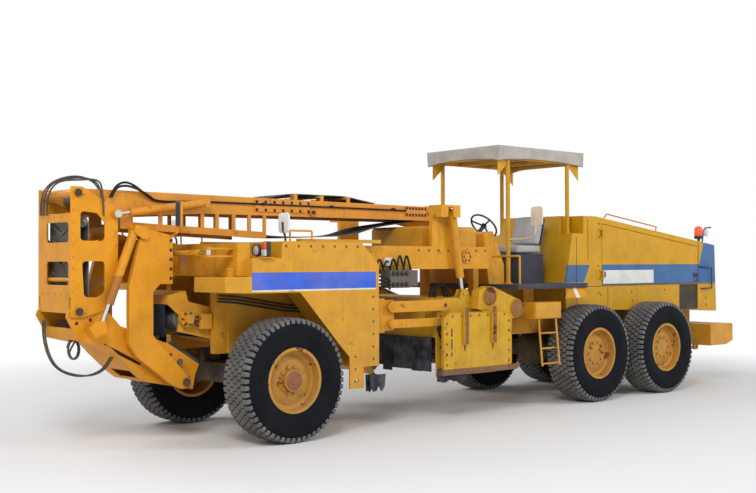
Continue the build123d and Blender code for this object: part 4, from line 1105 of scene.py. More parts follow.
# ---------------------------------------------------------------- canopy and seat
@dataclass
class Canopy:
    """Coated cloth over the canopy's frame: a taut top with a skirt whose lower edge arches between the corners."""

    front: float = -3.800
    rear: float = -5.610
    half: float = 0.694
    top: float = 3.524
    drop: float = 0.205
    arch: float = 0.055
    bars: tuple[float, ...] = (-3.850, -4.420, -4.990, -5.560)
    half_bay: float = 0.285
    border: float = 0.16          # the cloth is pulled flat this near its edges
    cell: float = 0.030

    @property
    def length(self) -> float:
        """Return the top's length."""
        return self.front - self.rear

    def grid(self) -> Piece:
        """Build the cloth as it was cut: a rectangle with its corner squares left out.

        Returns:
            The piece.
        """
        skirt = round(self.drop / self.cell)
        along = round(self.length / self.cell) + 2 * skirt
        across = round(2 * self.half / self.cell) + 2 * skirt
        cloth = fresh(bpy.ops.mesh.primitive_grid_add, x_subdivisions=along, y_subdivisions=across, size=1)
        for vertex in cloth.data.vertices:
            vertex.co = (round((vertex.co.x + 0.5) * along) - skirt, round((vertex.co.y + 0.5) * across) - skirt, 0)
        return self.folded(cloth, along - 2 * skirt, across - 2 * skirt, skirt)

    def folded(self, cloth: Piece, columns: int, rows: int, skirt: int) -> Piece:
        """Drop the corner squares, fold the skirt down and sew the corners.

        Args:
            cloth: The grid, its vertices numbered by column and row.
            columns: Cells along the top.
            rows: Cells across the top.
            skirt: Cells down the skirt.

        Returns:
            The cloth in its place.
        """
        activate(cloth)
        open_mesh()
        bpy.ops.mesh.select_mode(type="VERT")
        bpy.ops.mesh.select_all(action="DESELECT")
        bpy.ops.object.mode_set(mode="OBJECT")
        for vertex in cloth.data.vertices:
            over_x = not -0.5 <= vertex.co.x <= columns + 0.5
            over_y = not -0.5 <= vertex.co.y <= rows + 0.5
            vertex.select = over_x and over_y
        bpy.ops.object.mode_set(mode="EDIT")
        bpy.ops.mesh.delete(type="VERT")
        bpy.ops.object.mode_set(mode="OBJECT")
        for vertex in cloth.data.vertices:
            x, y, _ = vertex.co
            deep = max(-x, x - columns, -y, y - rows, 0.0) / skirt
            vertex.co = self.place(min(max(x / columns, 0.0), 1.0), min(max(y / rows, 0.0), 1.0), deep)
        open_mesh()
        close_mesh(0.0005)
        bpy.ops.object.shade_smooth()
        return cloth

    def place(self, u: float, v: float, deep: float) -> Point:
        """Return where a point of the cloth lies.

        Args:
            u: Share of the top's length, from the rear.
            v: Share of the top's width, from the right.
            deep: Share of the skirt's depth, 0 on the top.

        Returns:
            The point in the frame.
        """
        x = self.rear + u * self.length
        y = (2 * v - 1) * self.half
        edge = min(u, 1 - u) * self.length
        side = min(v, 1 - v) * 2 * self.half
        inside = min(1.0, edge / self.border) * min(1.0, side / self.border)
        between = min(abs(x - bar_x) for bar_x in self.bars) / self.half_bay
        crease = noise.noise(Vector((x * 5, y * 3, 0.3))) + 0.6 * noise.noise(Vector((x * 13, y * 10, 1.7)))
        z = self.top - 0.014 * inside * min(between, 1.0) + 0.006 * crease * inside - 0.004 * (1 - inside)
        if deep > 0:
            run = v if u in (0.0, 1.0) else u
            depth = self.drop - self.arch * math.sin(math.pi * run) ** 0.6
            wave = 0.5 * math.sin(41 * run) + noise.noise(Vector((run * 9, deep * 2, u + 3 * v)))
            push = 0.007 * deep * wave - 0.006 * deep
            z = self.top - 0.004 - deep * depth
            if u in (0.0, 1.0):
                x += push if u == 1.0 else -push
            if v in (0.0, 1.0):
                y += push if v == 1.0 else -push
        return at(x, y, z)

    def hem(self) -> Piece:
        """Build the rope hem along the skirt's lower edge.

        Returns:
            The piece.
        """
        steps = 24
        corners = ((0.0, 0.0), (1.0, 0.0), (1.0, 1.0), (0.0, 1.0), (0.0, 0.0))
        route = [self.place(u0 + (u1 - u0) * step / steps, v0 + (v1 - v0) * step / steps, 1.0)
                 for (u0, v0), (u1, v1) in zip(corners, corners[1:]) for step in range(steps)]
        return tube("canopy_hem", [*route, route[0]], 0.0045, origin=0.0)

    def build(self) -> None:
        """Hang the cloth with its hem, and the gussets under the corners of the frame."""
        cloth = self.grid()
        cloth.name = "canopy_cloth"
        hem = self.hem()
        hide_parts("canopy_cover")
        mount(cloth, "root", Coat.CANVAS)
        mount(hem, "root", Coat.CANVAS)
        webs = [plate("canopy_web", [(x, 3.345), (x + way * 0.26, 3.345), (x, 3.12)], 0.626, 0.633)
                for x, way in ((self.bars[0], -1), (self.bars[-1], 1))]
        pair("canopy_webs", webs, "root", Coat.HOOD)


@dataclass
class Seat:
    """The operator's padded seat on its blue shell."""

    low: Point = (-4.900, 0.005, 2.0605)
    high: Point = (-4.380, 0.505, 2.190)
    hinge: Point = (-4.815, 0, 2.192)
    lean: float = -0.235

    def cushion(self, name: str, low: Point, high: Point, puff: float) -> Piece:
        """Return one puffed cushion between two corners, in the frame.

        Args:
            name: The cushion's name.
            low: Lowest corner.
            high: Highest corner.
            puff: How far its faces swell; its edges lie that far inside the corners.

        Returns:
            The cushion.
        """
        inset = Vector((puff, puff, puff))
        piece = activate(box(name, Vector(low) + inset, Vector(high) - inset, 0.0))
        open_mesh()
        bpy.ops.mesh.subdivide(number_cuts=11)
        bpy.ops.object.mode_set(mode="OBJECT")
        middle = (Vector(low) + Vector(high)) / 2
        reach = (Vector(high) - Vector(low)) / 2 - inset
        for vertex in piece.data.vertices:
            offset = vertex.co - middle
            share = [offset[i] / reach[i] for i in range(3)]
            swell = [0.0, 0.0, 0.0]
            for i in range(3):
                if abs(share[i]) > 0.999:
                    first, second = (share[j] for j in range(3) if j != i)
                    pleat = 0.82 + 0.18 * abs(math.cos(first * math.pi * 1.5))
                    swell[i] = math.copysign(puff * pleat * (1 - first ** 4) * (1 - second ** 4), share[i])
            vertex.co += Vector(swell)
        return rounded(piece, 0.012, 3, 0.9)

    def build(self) -> None:
        """Place the cushion, the back rest and the shell."""
        seat = self.cushion("seat_cushion", at(*self.low), at(*self.high), 0.020)
        back = self.cushion("seat_back", (-0.075, self.low[1] + 0.015, 0.0), (0.055, self.high[1] - 0.015, 0.41), 0.018)
        stand(back, self.hinge, self.lean, "Y")
        for piece in (seat, back):
            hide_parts("seat_cushions")
            mount(piece, "root", Coat.VINYL)
        shell = stand(box("seat_shell", (-0.100, 0.03, 0.02), (-0.078, 0.48, 0.40), 0.0), self.hinge, self.lean, "Y")
        base = box("seat_pan", (-4.92, 0.02, 2.030), (-4.36, 0.49, 2.060))
        mount(rounded(merged("seat_shell", [shell, base]), 0.006, 2), "root", Coat.SEAT_SHELL)


# ---------------------------------------------------------------- conveyor
def smooth_route(points: Sequence[Vector], cuts: int) -> list[Vector]:
    """Draw a Catmull-Rom curve through points.

    Args:
        points: The points.
        cuts: Steps between each two.

    Returns:
        The curve's points.
    """
    result = []
    padded = [2 * points[0] - points[1], *points, 2 * points[-1] - points[-2]]
    for a, b, c, d in zip(padded, padded[1:], padded[2:], padded[3:]):
        for t in (step / cuts for step in range(cuts)):
            result.append(0.5 * (2 * b + (c - a) * t + (2 * a - 5 * b + 4 * c - d) * t * t
                                 + (3 * b - a - 3 * c + d) * t ** 3))
    result.append(Vector(points[-1]))
    return result


def ribbon(name: str, route: Sequence[Flat], half: float, thick: float) -> Piece:
    """Add a strip of belt that hangs along a route.

    Args:
        name: The piece's name.
        route: (station, z) points.
        half: Half its width.
        thick: Its thickness.

    Returns:
        The piece.
    """
    points = smooth_route([Vector((x, 0, z)) for x, z in route], 5)
    outline = [(p.x, p.z) for p in points] + [(p.x, p.z - thick) for p in reversed(points)]
    return rounded(plate(name, outline, -half, half), thick * 0.2, 1)


@dataclass
class Conveyor:
    """Belts, hoses, bolts and pins on the folded discharge conveyor."""

    plate_y: float = 0.361
    link_y: float = 0.385
    arm_y: float = 0.485
    belt_half: float = 0.285

    def belts(self) -> None:
        """Hang the slack return belt under the upper boom and the strip over its brackets."""
        slack = [(-0.20, 2.268), (-0.584, 2.252), (-1.00, 2.260), (-1.558, 2.292), (-1.976, 2.392), (-2.45, 2.460),
                 (-2.85, 2.515)]
        over = [(-0.20, 2.690), (-0.45, 2.728), (-0.656, 2.758), (-1.049, 2.760), (-1.458, 2.758), (-1.70, 2.726),
                (-1.95, 2.690)]
        for name, route, thick in (("slack_belt", slack, 0.011), ("return_belt", over, 0.010)):
            mount(ribbon(name, route, self.belt_half, thick), "upper_section", Coat.BELT)

    def boom_bolts(self) -> None:
        """Set the bolts of the folding plates, the end plate and the rollers' bearings."""
        out = self.plate_y
        face = out + 0.012
        spots = [spot for x0, x1, heights in ((-0.835, -0.095, (2.548, 2.642)), (-2.744, -2.419, (2.556, 2.636)))
                 for z in heights for spot in row((x0, face, z), (x1, face, z), 7)]
        upper = [bolts("upper_bolts", spots, 0.013, 0.010)]
        upper += [bar("upper_pin", (x, face, z), (x, out + 0.045, z), 0.022)
                  for x, z in ((-0.897, 2.540), (-2.827, 2.600))]
        pair("upper_fittings", upper, "upper_section", Coat.DARK)
        spots = row((1.80, out, 1.395), (2.10, out, 1.335), 3)
        spots += [at(x, out, z) for x, z in ((0.80, 0.70), (1.02, 0.96), (1.25, 1.03))]
        cap = bar("tail_cap", (0.922, out + 0.019, 0.880), (0.922, out + 0.034, 0.880), 0.034)
        pair("lower_fittings", [bolts("lower_bolts", spots, 0.013, 0.010), cap], "lower_section", Coat.DARK)

    def link_fittings(self) -> None:
        """Set the pins, their keepers and the bolts of the upright box."""
        side = self.link_y
        out = side + 0.018
        pieces, pins = [], []
        for x, z in ((2.090, 1.453), (2.103, 2.655)):
            pins.append(bar("link_pin", (x, out - 0.001, z), (x, out + 0.010, z), 0.040, 28))
            keeper = [(x - 0.075, z - 0.014), (x - 0.03, z - 0.014), (x - 0.03, z + 0.014), (x - 0.075, z + 0.014)]
            pieces.append(rounded(plate("pin_keeper", keeper, side, out + 0.004), 0.003, 1))
        spots = row((2.150, side, 1.66), (2.150, side, 2.60), 9) + row((1.680, side, 1.74), (1.680, side, 2.40), 6)
        pieces.append(bolts("link_bolts", spots, 0.011, 0.008))
        pair("link_fittings", pieces, "link_section", Coat.SMOOTH)
        pair("link_pins", pins, "link_section", Coat.DARK)
        spots = [spot for z in (2.42, 1.63) for spot in row((2.173, -0.30, z), (2.173, 0.30, z), 5)]
        mount(bolts("face_bolts", spots, 0.012, 0.008, (1, 0, 0)), "link_section", Coat.SMOOTH)

    def hoses(self) -> None:
        """Lay the hydraulic hoses, each clamped at both ends to one body."""
        top = [tube("top_hose", [
            (2.185, -0.30 + s, 2.44), (2.200, -0.29 + s, 2.62), (2.130, -0.20 + s, 2.80),
            (1.985, 0.08 + s, 2.860 - s * 0.4), (1.880, 0.25 + s, 2.80), (1.835, 0.330 + s * 0.5, 2.70),
            (1.82, 0.396, 2.58 - s)], 0.0095)
            for s in (0.0, 0.065, 0.15)]
        mount(merged("top_hoses", top), "link_section", Coat.HOSE)
        loops = [tube("boom_hose", [
            (1.74, 0.375 + s, 2.62), (1.70, 0.375 + s, 2.72), (1.60, 0.38 + s, 2.79 - s), (1.48, 0.38 + s, 2.77 - s),
            (1.32, 0.378 + s, 2.66), (1.22, 0.376, 2.60), (0.98, 0.374, 2.60), (0.60, 0.374, 2.615)], 0.012)
            for s in (0.0, 0.04)]
        loops += [box("hose_clip", (x, 0.361, 2.60), (x + 0.04, 0.40, 2.63)) for x in (-0.2, -1.2, -2.2)]
        loops.append(tube("boom_pipe", [(0.60, 0.380, 2.615), (-1.2, 0.380, 2.610), (-2.40, 0.380, 2.605)], 0.010))
        mount(merged("boom_hoses", loops), "upper_section", Coat.BLACK)
        low = [tube("low_hose", [
            (2.16, -0.30 + s, 1.35), (2.175, -0.29 + s, 1.24), (2.150, -0.24 + s, 1.00), (2.090, -0.14 + s, 0.84),
            (1.95, -0.02 + s, 0.760 + s * 0.3), (1.79, 0.08 + s, 0.77), (1.66, 0.12 + s, 0.85),
            (1.60, 0.13 + s, 0.97)], 0.010)
            for s in (0.0, 0.05)]
        ring = coil((2.05, 0.16, 1.06), 0.06, 0.10, 0.004, 26)
        low.append(tube("hose_ring", [(2.06, 0.17, 1.22), *ring, (2.02, 0.24, 1.20)], 0.011))
        mount(merged("low_hoses", low), "lower_section", Coat.HOSE)

    def chute(self) -> None:
        """Hang the rubber curtain at the primary conveyor's head and the skirts of the hopper."""
        pieces = []
        for number in range(9):
            y = -0.36 + number * 0.08
            foot = 1.155 + 0.012 * math.sin(number * 2.1)
            pieces.append(rounded(box("curtain", (1.088, y, foot), (1.096, y + 0.077, 1.50)), 0.002, 1))
        mount(merged("head_curtain", pieces), "root", Coat.NAVY)
        skirt = plate("hopper_skirt", [(0.675, 0.845), (1.035, 1.072), (1.030, 1.105), (0.672, 0.885)], 0.331, 0.341)
        pair("hopper_skirts", [skirt], "lower_section", Coat.FLAP)

    def swing(self) -> None:
        """Dress the swing frame with bolts, end caps and its two small mirrors."""
        out = self.arm_y
        pieces = [bar("foot_cap", (0.905, out + 0.012, 0.665), (0.905, out + 0.024, 0.665), 0.045, 28),
                  bolts("arm_bolts", row((1.09, out, 1.78), (1.09, out, 2.18), 5), 0.013, 0.010)]
        pair("swing_fittings", pieces, "swing_frame", Coat.DARK)
        glass = box("glass", (1.060, 0.610, 2.340), (1.064, 0.680, 2.580))
        pair("swing_mirror_glass", [glass], "swing_frame", Coat.MIRROR)
        back = rounded(box("back", (1.092, 0.602, 2.332), (1.106, 0.688, 2.588)), 0.006, 3)
        pair("swing_mirror_backs", [back], "swing_frame", Coat.SEAT_SHELL)

    def head_drive(self) -> None:
        """Dress the head drive with its motors' bolts and pipes."""
        pieces = [bolts("motor_bolts", circle((0.872, 0.470, 1.340), 0.066, 6), 0.010, 0.009)]
        pieces += [tube("drive_pipe", [(0.722, 0.445, z), (0.775, 0.455, z), (0.80, 0.475, 1.34)], 0.011)
                   for z in (1.26, 1.31, 1.36)]
        pair("head_drive", pieces, "root", Coat.DARK)

    def build(self) -> None:
        """Add all of it."""
        self.belts()
        self.boom_bolts()
        self.link_fittings()
        self.hoses()
        self.chute()
        self.swing()
        self.head_drive()


# ---------------------------------------------------------------- front body, lamps and mirrors
@dataclass
class FrontBody:
    """Fittings on the front body and the bridge behind it."""

    side: float = 1.200
    top: float = 2.170

    def seams(self) -> None:
        """Lay the weld beads and the bolts."""
        y = self.side
        spots = row((-1.13, y, 0.84), (-1.13, y, 1.55), 6) + row((-0.86, y, 0.60), (-0.86, y, 0.88), 3)
        spots += row((-0.90, y, 2.12), (0.10, y, 2.12), 7)
        pair("body_bolts", [bolts("side_bolts", spots, 0.011, 0.007)], "root", Coat.RUSTY)
        out, over = y + 0.001, y - 0.002
        runs = (((0.160, out, 1.995), (0.160, out, 2.165)), ((0.540, out, 1.800), (0.540, out, 1.985)),
                ((-0.955, over, self.top), (0.155, over, self.top)))
        pair("body_beads", [tube("bead", run, 0.004) for run in runs], "root", Coat.BODY)

    def rails(self) -> None:
        """Add the grab handles, the brace at the lamps and the cap on the nose."""
        foot = self.top - 0.004
        grab = [(x, 1.13, z) for x, z in ((-0.30, foot), (-0.30, 2.29), (0.00, 2.29), (0.00, foot))]
        cap = [(0.0, 0.0), (0.052, 0.0), (0.052, 0.024), (0.040, 0.032), (0.0, 0.034)]
        pieces = [
            tube("grab", grab, 0.011, False),
            plate("brace", [(0.474, 1.990), (0.530, 1.990), (0.650, 2.149), (0.560, 2.149)], 1.000, 1.012),
            upright("cap", cap, (0.676, 1.000, 1.858)),
        ]
        pair("body_rails", pieces, "root", Coat.FRAME)

    def pipes(self) -> None:
        """Run the three pipes under the arch and the hoses over the valve banks."""
        pipes = []
        for number in range(3):
            y, z = 0.560 + 0.012 * number, 0.034 * number
            pipes.append(tube("arch_pipe", [(0.556, y, 1.520 + z), (0.30, y, 1.500 + z), (-0.351, y, 1.395 + z),
                                            (-0.80, y, 1.360 + z)], 0.011, False))
        pair("arch_pipes", pipes, "root", Coat.DARK)
        hoses = []
        for number in range(5):
            x = -1.30 - 0.11 * number
            sag = 0.10 * noise.noise(Vector((number * 1.7, 0.4, 0.0)))
            hoses.append(tube("bank_hose", [
                (x, 1.05, 1.848), (x - 0.01, 1.06, 1.93 + sag), (x - 0.07, 1.03, 1.99 + sag), (x - 0.16, 0.965, 1.95),
                (x - 0.22, 0.945, 1.84), (x - 0.24, 0.95, 1.70)], 0.012))
        for number in range(4):
            z = 1.80 - 0.045 * number
            hoses.append(tube("bank_pipe", [(-1.222, 1.08 - 0.02 * number, z), (-1.33, 1.12, z - 0.02),
                                            (-1.44, 1.125, z - 0.06), (-1.475, 1.10, z - 0.08)], 0.012))
        pair("bank_hoses", hoses, "root", Coat.BLACK)
        spots = row((-1.74, 1.100, 1.68), (-1.53, 1.100, 1.68), 4) + row((-1.74, 1.100, 1.81), (-1.53, 1.100, 1.81), 4)
        pair("bank_fittings", [bolts("bank_caps", spots, 0.022, 0.020)], "root", Coat.DARK)

    def bridge(self) -> None:
        """Set the bolts of the bridge and its round cover, the white box and the tank's cap."""
        spots = row((-3.28, 0.930, 2.09), (-2.10, 0.930, 2.09), 8) + circle((-2.919, 0.960, 2.014), 0.055, 6)
        pair("bridge_bolts", [bolts("bridge_row", spots, 0.012, 0.008)], "root", Coat.RUSTY)
        mount(rounded(box("white_box", (-1.62, 0.935, 1.90), (-1.52, 0.985, 2.00)), 0.006, 2), "root", Coat.WHITE)
        profile = [(0.0, 0.0), (0.075, 0.0), (0.075, 0.030), (0.060, 0.042), (0.0, 0.044)]
        mount(upright("tank_cap", profile, (-2.98, 0.50, 2.398)), "root", Coat.DARK)

    def build(self) -> None:
        """Add all of it."""
        self.seams()
        self.rails()
        self.pipes()
        self.bridge()


@dataclass
class Lamps:
    """Headlamps and indicators on the front body, the beacon and the work lamp behind."""

    back: float = 0.320
    shelf: float = 1.990
    middle: float = 1.065
    beacon_foot: Point = (-8.780, 0.560, 2.205)

    def headlamp(self) -> list[Piece]:
        """Build one left headlamp with its indicator.

        Returns:
            Its pieces.
        """
        x, z = self.back, self.shelf
        place = (x, self.middle, z + 0.086)
        shell, glass = (stand(lathe(name, profile, 40), place, -math.pi / 2) for name, profile in (
            ("lamp_shell", [(0.0, 0.0), (0.045, 0.004), (0.062, 0.030), (0.066, 0.055), (0.066, 0.088), (0.058, 0.090),
                            (0.056, 0.078), (0.0, 0.074)]),
            ("lamp_glass", [(0.0, 0.087), (0.030, 0.085), (0.056, 0.080), (0.056, 0.076), (0.0, 0.076)])))
        case = box("indicator", (x, 1.147, z + 0.012), (x + 0.052, 1.233, z + 0.178))
        low = box("amber", (x + 0.052, 1.153, z + 0.094), (x + 0.079, 1.227, z + 0.172))
        high = box("clear", (x + 0.052, 1.153, z + 0.018), (x + 0.079, 1.227, z + 0.092))
        tray = merged("tray", [box("tray", (x - 0.040, 1.000, z), (x + 0.120, 1.245, z + 0.012)),
                               box("stalk", (x + 0.020, 1.045, z + 0.010), (x + 0.060, 1.085, z + 0.030))])
        return [dress(rounded(shell, 0.001, 1), Coat.DARK), dress(glass, Coat.LENS),
                dress(rounded(case, 0.008, 2), Coat.DARK), dress(rounded(low, 0.010, 3), Coat.AMBER),
                dress(rounded(high, 0.010, 3), Coat.LENS), dress(rounded(tray, 0.003, 1), Coat.FRAME)]

    def beacon(self) -> None:
        """Stand the beacon on its blue bracket and the round work lamp beside it."""
        x, y, _ = self.beacon_foot
        dome = [(0.0, 0.325), (0.030, 0.322), (0.056, 0.305), (0.068, 0.270), (0.071, 0.165), (0.0, 0.165)]
        base = [(0.0, 0.115), (0.072, 0.115), (0.072, 0.163), (0.0, 0.163)]
        cover, foot = (upright(name, profile, self.beacon_foot, 40)
                       for name, profile in (("beacon_dome", dome), ("beacon_base", base)))
        post = bar("beacon_stand", (x, y, 2.215), (x, y, 2.325), 0.025)
        route = [(-8.60, 0.74, 2.245), (-8.60, 0.76, 2.46), (-8.66, 0.78, 2.50), (-8.76, 0.80, 2.50)]
        arm = tube("beacon_arm", route, 0.014)
        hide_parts("lamps")
        mount(cover, "root", Coat.BEACON)
        mount(foot, "root", Coat.DARK)
        mount(merged("beacon_stand", [post, arm]), "root", Coat.BEACON_STAND)
        lamp = lathe("work_lamp", [(0.0, 0.0), (0.040, 0.006), (0.056, 0.030), (0.058, 0.052), (0.0, 0.056)], 32)
        mount(rounded(stand(lamp, (-8.60, 0.775, 2.41), 0.25), 0.001, 1), "root", Coat.WHITE)

    def build(self) -> None:
        """Add the headlamps, the beacon and the work lamp."""
        lamp = on_both_sides("headlamps", self.headlamp())
        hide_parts("lamps")
        mount(lamp, "root")
        self.beacon()


@dataclass
class Mirrors:
    """Rounded mirrors on bent arms, two at the front and two at the operator."""

    thick: float = 0.026
    corner: float = 0.22          # share of the shorter side that is rounded off

    def head(self, name: str, middle: Point, wide: float, tall: float, back: Coat) -> list[Piece]:
        """Return one mirror that faces backwards.

        Args:
            name: The piece's name.
            middle: Middle of its back.
            wide: Its width.
            tall: Its height.
            back: Finish of its back.

        Returns:
            The back and the glass.
        """
        x, y, z = middle
        rear = x - self.thick
        shell = activate(box(name, (rear, y - wide / 2, z - tall / 2), (x, y + wide / 2, z + tall / 2)))
        bevel = shell.modifiers.new("round", "BEVEL")
        bevel.width = min(wide, tall) * self.corner
        bevel.segments = 6
        bevel.limit_method = "WEIGHT"
        mesh = shell.data
        weights = mesh.attributes.new("bevel_weight_edge", "FLOAT", "EDGE")
        for edge in mesh.edges:
            a, b = (mesh.vertices[i].co for i in edge.vertices)
            weights.data[edge.index].value = 1.0 if abs(a.x - b.x) > 0.01 else 0.0
        bpy.ops.object.modifier_apply(modifier=bevel.name)
        half_wide, half_tall = wide * 0.41, tall * 0.43
        glass = box(name + "_glass", (x - 0.0285, y - half_wide, z - half_tall), (rear, y + half_wide, z + half_tall))
        return [dress(rounded(shell, 0.005, 2), back), dress(glass, Coat.MIRROR)]

    def build(self) -> None:
        """Place the mirrors and their arms."""
        front = self.head("front_mirror", (0.090, 1.130, 2.372), 0.180, 0.215, Coat.WHITE)
        bent = [(x, 1.130, z) for x, z in ((0.060, 2.165), (0.060, 2.24), (0.098, 2.28), (0.098, 2.38))]
        arm = tube("front_arm", bent, 0.012)
        rear = self.head("station_mirror", (-4.030, 1.150, 2.550), 0.195, 0.255, Coat.MIRROR_BACK)
        bend = tube("station_arm", [(-4.05, 0.662, 2.25), (-4.05, 0.85, 2.25), (-4.05, 1.06, 2.262),
                                    (-4.045, 1.12, 2.32), (-4.026, 1.145, 2.44), (-4.024, 1.150, 2.56)], 0.013)
        whole = on_both_sides("mirror_set", [*front, dress(arm, Coat.DARK), *rear, dress(bend, Coat.MIRROR_BACK)])
        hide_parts("mirrors")
        mount(whole, "root")


# ---------------------------------------------------------------- operator's station and hood
@dataclass
class Station:
    """Gauges, levers, edge strips, blank boxes and rails round the operator."""

    floor: float = 1.650
    post_y: float = 0.630

    def console(self) -> None:
        """Set gauges and levers on the sloping console."""
        slope = Vector((0.22, 0.0, 0.46)).normalized()
        facing = Vector((-slope.z, 0.0, slope.x))
        turn = facing.to_track_quat("Y", "Z").to_matrix().to_4x4()
        profile = [(0.0, 0.0), (0.040, 0.0), (0.040, 0.012), (0.034, 0.014), (0.033, 0.008), (0.0, 0.008)]
        gauges = []
        for number in range(6):
            place = Vector(at(-3.845, -0.42 + 0.105 * number, 2.224)) + facing * 0.001
            ring = lathe("gauge", profile, 24)
            ring.data.transform(Matrix.Translation(place) @ turn)
            gauges.append(ring)
        mount(merged("gauges", gauges), "root", Coat.DARK)
        levers = []
        for number in range(5):
            foot = Vector(at(-3.915, -0.40 + 0.12 * number, 2.078))
            tip = foot + facing * 0.10 + Vector((0, 0, 0.06))
            levers.append(bar("lever", foot, tip, 0.006, origin=0.0))
            levers.append(bar("knob", tip - Vector((0, 0, 0.012)), tip + Vector((0, 0, 0.024)), 0.014, origin=0.0))
        mount(merged("levers", levers), "root", Coat.BLACK)

    def edges(self) -> None:
        """Add the tread strip on the floor's edge, the blue flap and the blank plates."""
        z = self.floor
        lip = rounded(box("lip", (-5.050, 1.178, z - 0.058), (-3.625, 1.192, z + 0.006)), 0.004, 2)
        spots = row((-4.95, 1.192, z - 0.026), (-3.72, 1.192, z - 0.026), 12)
        pair("floor_edges", [lip, bolts("edge_bolts", spots, 0.009, 0.006)], "root", Coat.DECK)
        flap = plate("floor_flap", [(-4.665, 1.592), (-5.052, 1.592), (-5.052, 1.452), (-4.600, 1.452)], 1.158, 1.164)
        pair("floor_flaps", [flap], "root", Coat.DECK)
        line = plate("flap_line", [(-4.76, 1.590), (-4.83, 1.590), (-4.93, 1.455), (-4.84, 1.455)], 1.164, 1.1655)
        pair("flap_lines", [line], "root", Coat.WHITE)
        sign = rounded(box("sign_box", (-4.480, 1.181, 1.200), (-3.965, 1.190, 1.402)), 0.004, 2)
        spots = [at(x, 1.190, z) for x in (-4.455, -3.99) for z in (1.222, 1.380)]
        pair("sign_boxes", [sign, bolts("sign_bolts", spots, 0.008, 0.005)], "root", Coat.BODY)

    def rails(self) -> None:
        """Add grab rails by the steps, a ring under each canopy post and the floor mat."""
        route = [(-3.72, y, z) for y, z in ((1.13, self.floor), (1.13, 2.02), (0.80, 2.02), (0.640, 2.02))]
        pair("step_rails", [tube("step_rail", route, 0.014, False)], "root", Coat.FRAME)
        profile = [(0.031, 0.0), (0.062, 0.0), (0.062, 0.010), (0.036, 0.014), (0.036, 0.040), (0.031, 0.040)]
        rings = [upright("post_ring", profile, (x, self.post_y, z), 28)
                 for x, z in ((-4.05, self.floor), (-5.31, 2.350))]
        pair("post_rings", rings, "root", Coat.FRAME)
        mat = box("floor_mat", (-4.96, -0.575, self.floor + 0.008), (-4.08, -0.030, self.floor + 0.011))
        mount(rounded(mat, 0.001, 1), "root", Coat.BLACK)

    def build(self) -> None:
        """Add all of it."""
        self.console()
        self.edges()
        self.rails()


@dataclass
class Hood:
    """Seams, bolts, handles, rails, louvres and blank plates on the engine hood."""

    side: float = 0.800
    seam: float = 0.0032
    slats: int = 15

    def seams(self) -> None:
        """Lay the hood's seams as thin proud beads and its bolts."""
        out = self.side + 0.0015
        routes = (((-5.30, 1.290), (-5.30, 2.300)), ((-5.56, 1.960), (-5.56, 2.560)),
                  ((-5.10, 1.600), (-5.80, 1.590), (-8.84, 1.592)), ((-6.02, 1.300), (-6.02, 1.580)),
                  ((-8.40, 1.620), (-8.40, 2.240)))
        beads = [tube("seam", [(x, out, z) for x, z in route], self.seam, False) for route in routes]
        pair("hood_seams", beads, "root", Coat.DARK)
        places = ((-5.34, 1.88), (-5.58, 1.88), (-5.80, 1.885), (-5.33, 1.50), (-5.80, 1.50), (-5.85, 1.47),
                  (-6.60, 1.50), (-6.62, 1.36), (-7.45, 1.51), (-5.82, 2.50), (-8.60, 1.36), (-8.60, 1.25))
        heads = bolts("hood_row", [at(x, self.side, z) for x, z in places], 0.012, 0.007)
        pair("hood_bolts", [heads], "root", Coat.RUSTY)

    def handles(self) -> None:
        """Add the long rails on the roof, the U handles behind, and the doors' latches and blank plates."""
        route = [(x, 0.740, z) for x, z in ((-6.00, 2.565), (-6.08, 2.650), (-7.33, 2.485), (-7.30, 2.405))]
        pair("roof_rails", [tube("roof_rail", route, 0.011, False)], "root", Coat.ORANGE)
        handle = tube("u_handle", [(-8.43, 0.80, 1.86), (-8.43, 0.835, 1.86), (-8.72, 0.835, 1.85),
                                   (-8.72, 0.835, 1.52), (-8.47, 0.835, 1.51), (-8.47, 0.80, 1.51)], 0.010, False)
        pair("u_handles", [handle], "root", Coat.SEAT_SHELL)
        for word, side in SIDES:
            pull = [(-8.30, side * y, z) for y, z in ((0.806, 1.745), (0.835, 1.745), (0.835, 1.645), (0.801, 1.645))]
            latch = [rounded(box("latch", (-8.33, side * 0.800, 1.70), (-8.24, side * 0.812, 1.76)), 0.003, 2),
                     tube("pull", pull, 0.006, False)]
            mount(merged(f"door_latch_{word}", latch), f"door_{word}", Coat.DARK)
            sign = rounded(box("sign", (-7.160, side * 0.8000, 1.622), (-5.905, side * 0.8025, 1.822)), 0.001, 1)
            sign.name = f"door_plate_{word}"
            mount(sign, f"door_{word}", Coat.WHITE)

    def louvres(self) -> None:
        """Fill the grille openings with slanted louvres behind the doors and flat ones at the rear."""
        middle = 0.7845
        pieces = []
        for z in (1.205 + number * 0.0255 for number in range(self.slats)):
            slat = plate("slat", [(-8.362, z), (-7.858, z), (-7.858, z + 0.004), (-8.362, z + 0.004)], 0.775, 0.794)
            slat.data.transform(Matrix.Translation((0, middle, z)) @ Matrix.Rotation(-0.6, 4, "X")
                                @ Matrix.Translation((0, -middle, -z)))
            pieces.append(slat)
        pair("side_louvres", pieces, "root", Coat.DARK)
        heights = (1.33 + 0.062 * number for number in range(12))
        bars = [box("slat", (-8.888, -0.55, z), (-8.872, 0.55, z + 0.012)) for z in heights]
        mount(rounded(merged("rear_louvres", bars), 0.003, 1), "root", Coat.DARK)

    def build(self) -> None:
        """Add all of it."""
        self.seams()
        self.handles()
        self.louvres()


